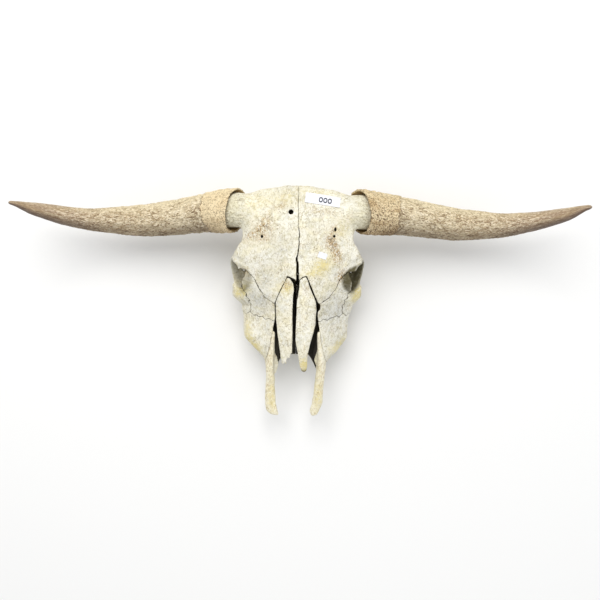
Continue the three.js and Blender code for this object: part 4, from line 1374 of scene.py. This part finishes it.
def horn_look():
    k = Look("horn")
    times, span, noise, value = k.times, k.span, k.noise, k.value
    # the skin unrolled: along the horn and round it, for long fibres and for short flecks
    run, round_x, round_y = value("run"), value("round_x"), value("round_y")
    skin = k.joined(times(run, 0.16), times(round_x, 0.036), times(round_y, 0.036))
    short = k.joined(times(run, 0.45), times(round_x, 0.04), times(round_y, 0.04))
    fibre = noise(420, 5, 0.65, skin, 0.4)
    streak = noise(95, 4, 0.6, skin, 0.6)
    fleck = noise(215, 5, 0.66, short, 1.5)
    patch = noise(34, 4, 0.6, short, 0.4)
    rings = noise(75, 3, 0.6, k.stretched((1, 0.12, 0.12), short))
    grain = noise(520, 4, 0.7, short, 1.0)
    speckle = noise(300, 5, 0.75, warp=0.8)
    under, inner, worn, step = value("under"), value("inner"), value("worn"), value("step")

    # the worn base and its ragged lip
    spots = times(span(speckle, 0.5, 0.575), worn)
    k.colour = k.mix((patch, 0.36, 0.64), (232, 212, 172), (196, 166, 118))
    k.paint(
        ((fibre, 0.5, 0.68, 0, 0.5), (160, 130, 88)),
        ((rings, 0.55, 0.7, 0, 0.45), (160, 128, 84)),
        ((speckle, 0.47, 0.38, 0, 0.6), (248, 234, 202)),
        (times(k.math("SUBTRACT", 1.0, worn), 1.1), (250, 232, 192)),
        (spots, (92, 64, 36)),
    )
    base = k.colour
    # the body, browner towards the tip
    k.colour = k.mix((run, 0.24, 0.43), (226, 211, 176), (202, 180, 144))
    k.paint(
        ((run, 0.37, 0.55), (156, 130, 106)),
        ((patch, 0.4, 0.66, 0, 0.6), (194, 170, 130)),
        ((streak, 0.5, 0.7, 0, 0.5), (228, 214, 182)),
        (times(span(fleck, 0.49, 0.41), span(run, 0.42, 0.57, 0.9, 0.35)), (250, 238, 212)),
        (times(span(fleck, 0.51, 0.58), span(run, 0.42, 0.57, 0.82, 0.6)), (110, 83, 52)),
        ((grain, 0.54, 0.64, 0, 0.75), (86, 62, 38)),
        ((fibre, 0.52, 0.7, 0, 0.55), (128, 100, 70)),
        (times(value("flake"), 0.4), (224, 210, 178)),
    )
    lip = span(k.math("ABSOLUTE", step), 0.0, 0.004, 0.9, 0.0)
    k.paint(
        ((step, -0.0015, 0.0015, 1.0, 0.0), base),
        (times(lip, span(speckle, 0.44, 0.56)), (104, 78, 46)),
    )
    # painted shade on the underside, deeper towards the tip, and a painted highlight on the top
    painted_shade = times(under, span(patch, 0.3, 0.65, 0.6, 1.0))
    k.paint((painted_shade, (0.36, 0.31, 0.27, 1)), kind="MULTIPLY")
    k.paint(
        (times(under, span(run, 0.38, 0.56, 0.0, 0.75)), (88, 72, 66)),
        (times(span(round_x, 0.1, 0.95), span(run, 0.36, 0.56, 0.28, 0.12)), (242, 226, 180)),
    )
    # the socket, brown inside, with painted shade where it is deep
    socket = k.mix((streak, 0.4, 0.65), (198, 170, 124), (134, 98, 56))
    k.paint(
        ((inner, 0.45, 0.9), socket),
        ((times(inner, span(run, 0.14, 0.19)), 0.3, 1.0), (60, 44, 26)),
    )
    return k.finish(
        span(run, 0.36, 0.58, 0.62, 0.42),
        [
            (streak, 0.0022, 0.5), (fibre, 0.0014, 0.7),
            (fleck, 0.0018, span(run, 0.38, 0.56, 0.9, 0.3)),
            (grain, 0.0012, span(run, 0.38, 0.56, 0.8, 0.3)), (speckle, 0.0012, 0.5),
            (rings, 0.0018, span(run, 0.14, 0.34, 0.7, 0.1)),
        ],
        specular=0.36,
    )


def paper_look():
    k = Look("paper")
    k.colour = k.mix((k.noise(60, 3), 0.35, 0.7), (238, 240, 248), (230, 231, 238))
    k.paint((k.value("ink"), (40, 41, 52)))
    return k.finish(0.75, [(k.noise(300, 3), 0.0004, 0.3)])


# ---- Labels -------------------------------------------------------------------------------

LABELS = {
    # centre, size, turn, lift of the corners
    "label_large": ([50.4, 211.8], [72.5, 20.5], -8, 1.6),
    "label_small": ([52.1, 97.9], [18.5, 12], -18, 0.8),
}


def digits(u, v):
    """Ink of three noughts in the label's own coordinates."""
    ink = np.zeros(len(u))
    for middle in (-4.0, 5.3, 14.6):
        a, b = np.abs(u - middle) / 3.2, np.abs(v + 0.6) / 4.2
        k = (a**2.4 + b**2.4) ** (1 / 2.4)
        ink = np.maximum(ink, np.clip(0.5 - (np.abs(k - 1) * 3.2 - 1.0) / 0.5, 0, 1))
    return ink


def build_labels(field):
    """The paper slips, laid on a field."""
    pieces = []
    for name, (centre, size, turn, lift) in LABELS.items():
        points, quads, u, v = paper(centre, size, turn, field, lift, 70)
        obj = object_from("slip_" + name, points, quads)
        attribute(obj, "ink", digits(u, v) if name == "label_large" else np.zeros(len(u)))
        pieces.append((obj, name, "paper"))
    return pieces


# ---- The scene ----------------------------------------------------------------------------


def area_light(name, place, size, power, colour):
    data = bpy.data.lights.new(name, "AREA")
    data.shape, data.size, data.energy, data.color = "DISK", size, power, colour
    obj = new_object(name, data)
    obj.location = place
    direction = Vector((0, 0, 0.1)) - Vector(place)
    obj.rotation_euler = direction.to_track_quat("-Z", "Y").to_euler()


def studio():
    """A plain floor, a pale world and two soft lights."""
    mesh = bpy.data.meshes.new("floor")
    corners = [(-30, -30), (30, -30), (30, 30), (-30, 30)]
    mesh.from_pydata([(x, y, -0.0004) for x, y in corners], [], [(0, 1, 2, 3)])
    floor = new_object("floor", mesh)
    look = Look("floor")
    look.colour = (0.86, 0.86, 0.855, 1)
    mesh.materials.append(look.finish(0.9, []))
    world = bpy.data.worlds.new("studio")
    bpy.context.scene.world = world
    world.use_nodes = True
    world.node_tree.nodes["Background"].inputs["Color"].default_value = (0.98, 0.99, 1.0, 1)
    world.node_tree.nodes["Background"].inputs["Strength"].default_value = 0.66
    area_light("key", (-0.4, 1.6, 2.9), 2.4, 75, (1.0, 0.985, 0.965))
    area_light("fill", (1.8, -1.2, 2.2), 2.0, 9, (0.96, 0.98, 1.0))


def camera():
    """A camera that looks straight down, turned one degree as the photo is."""
    data = bpy.data.cameras.new("camera")
    data.lens, data.sensor_width, data.clip_end = 55.07, 36, 50
    obj = new_object("camera", data)
    obj.location = (0.0034, 0.0076, 2.08)
    obj.rotation_euler = (0, 0, math.radians(1))
    bpy.context.scene.camera = obj


def main():
    bpy.context.scene.view_settings.view_transform = "Standard"
    looks = {"bone": bone_look(), "horn": horn_look(), "paper": paper_look()}
    pieces, roof = build_bones()
    for side, _ in SIDES:
        points, quads, values = horn_sheath(side)
        obj = object_from("sheath_" + side, points, quads)
        for key, value in values.items():
            attribute(obj, key, value)
        pieces.append((obj, "horn_sheath_" + side, "horn"))
    pieces += build_labels(roof)
    for obj, node, slot in pieces:
        obj.data.materials.append(looks[slot])
        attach(obj, "root")
        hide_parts(node)
    studio()
    camera()


main()
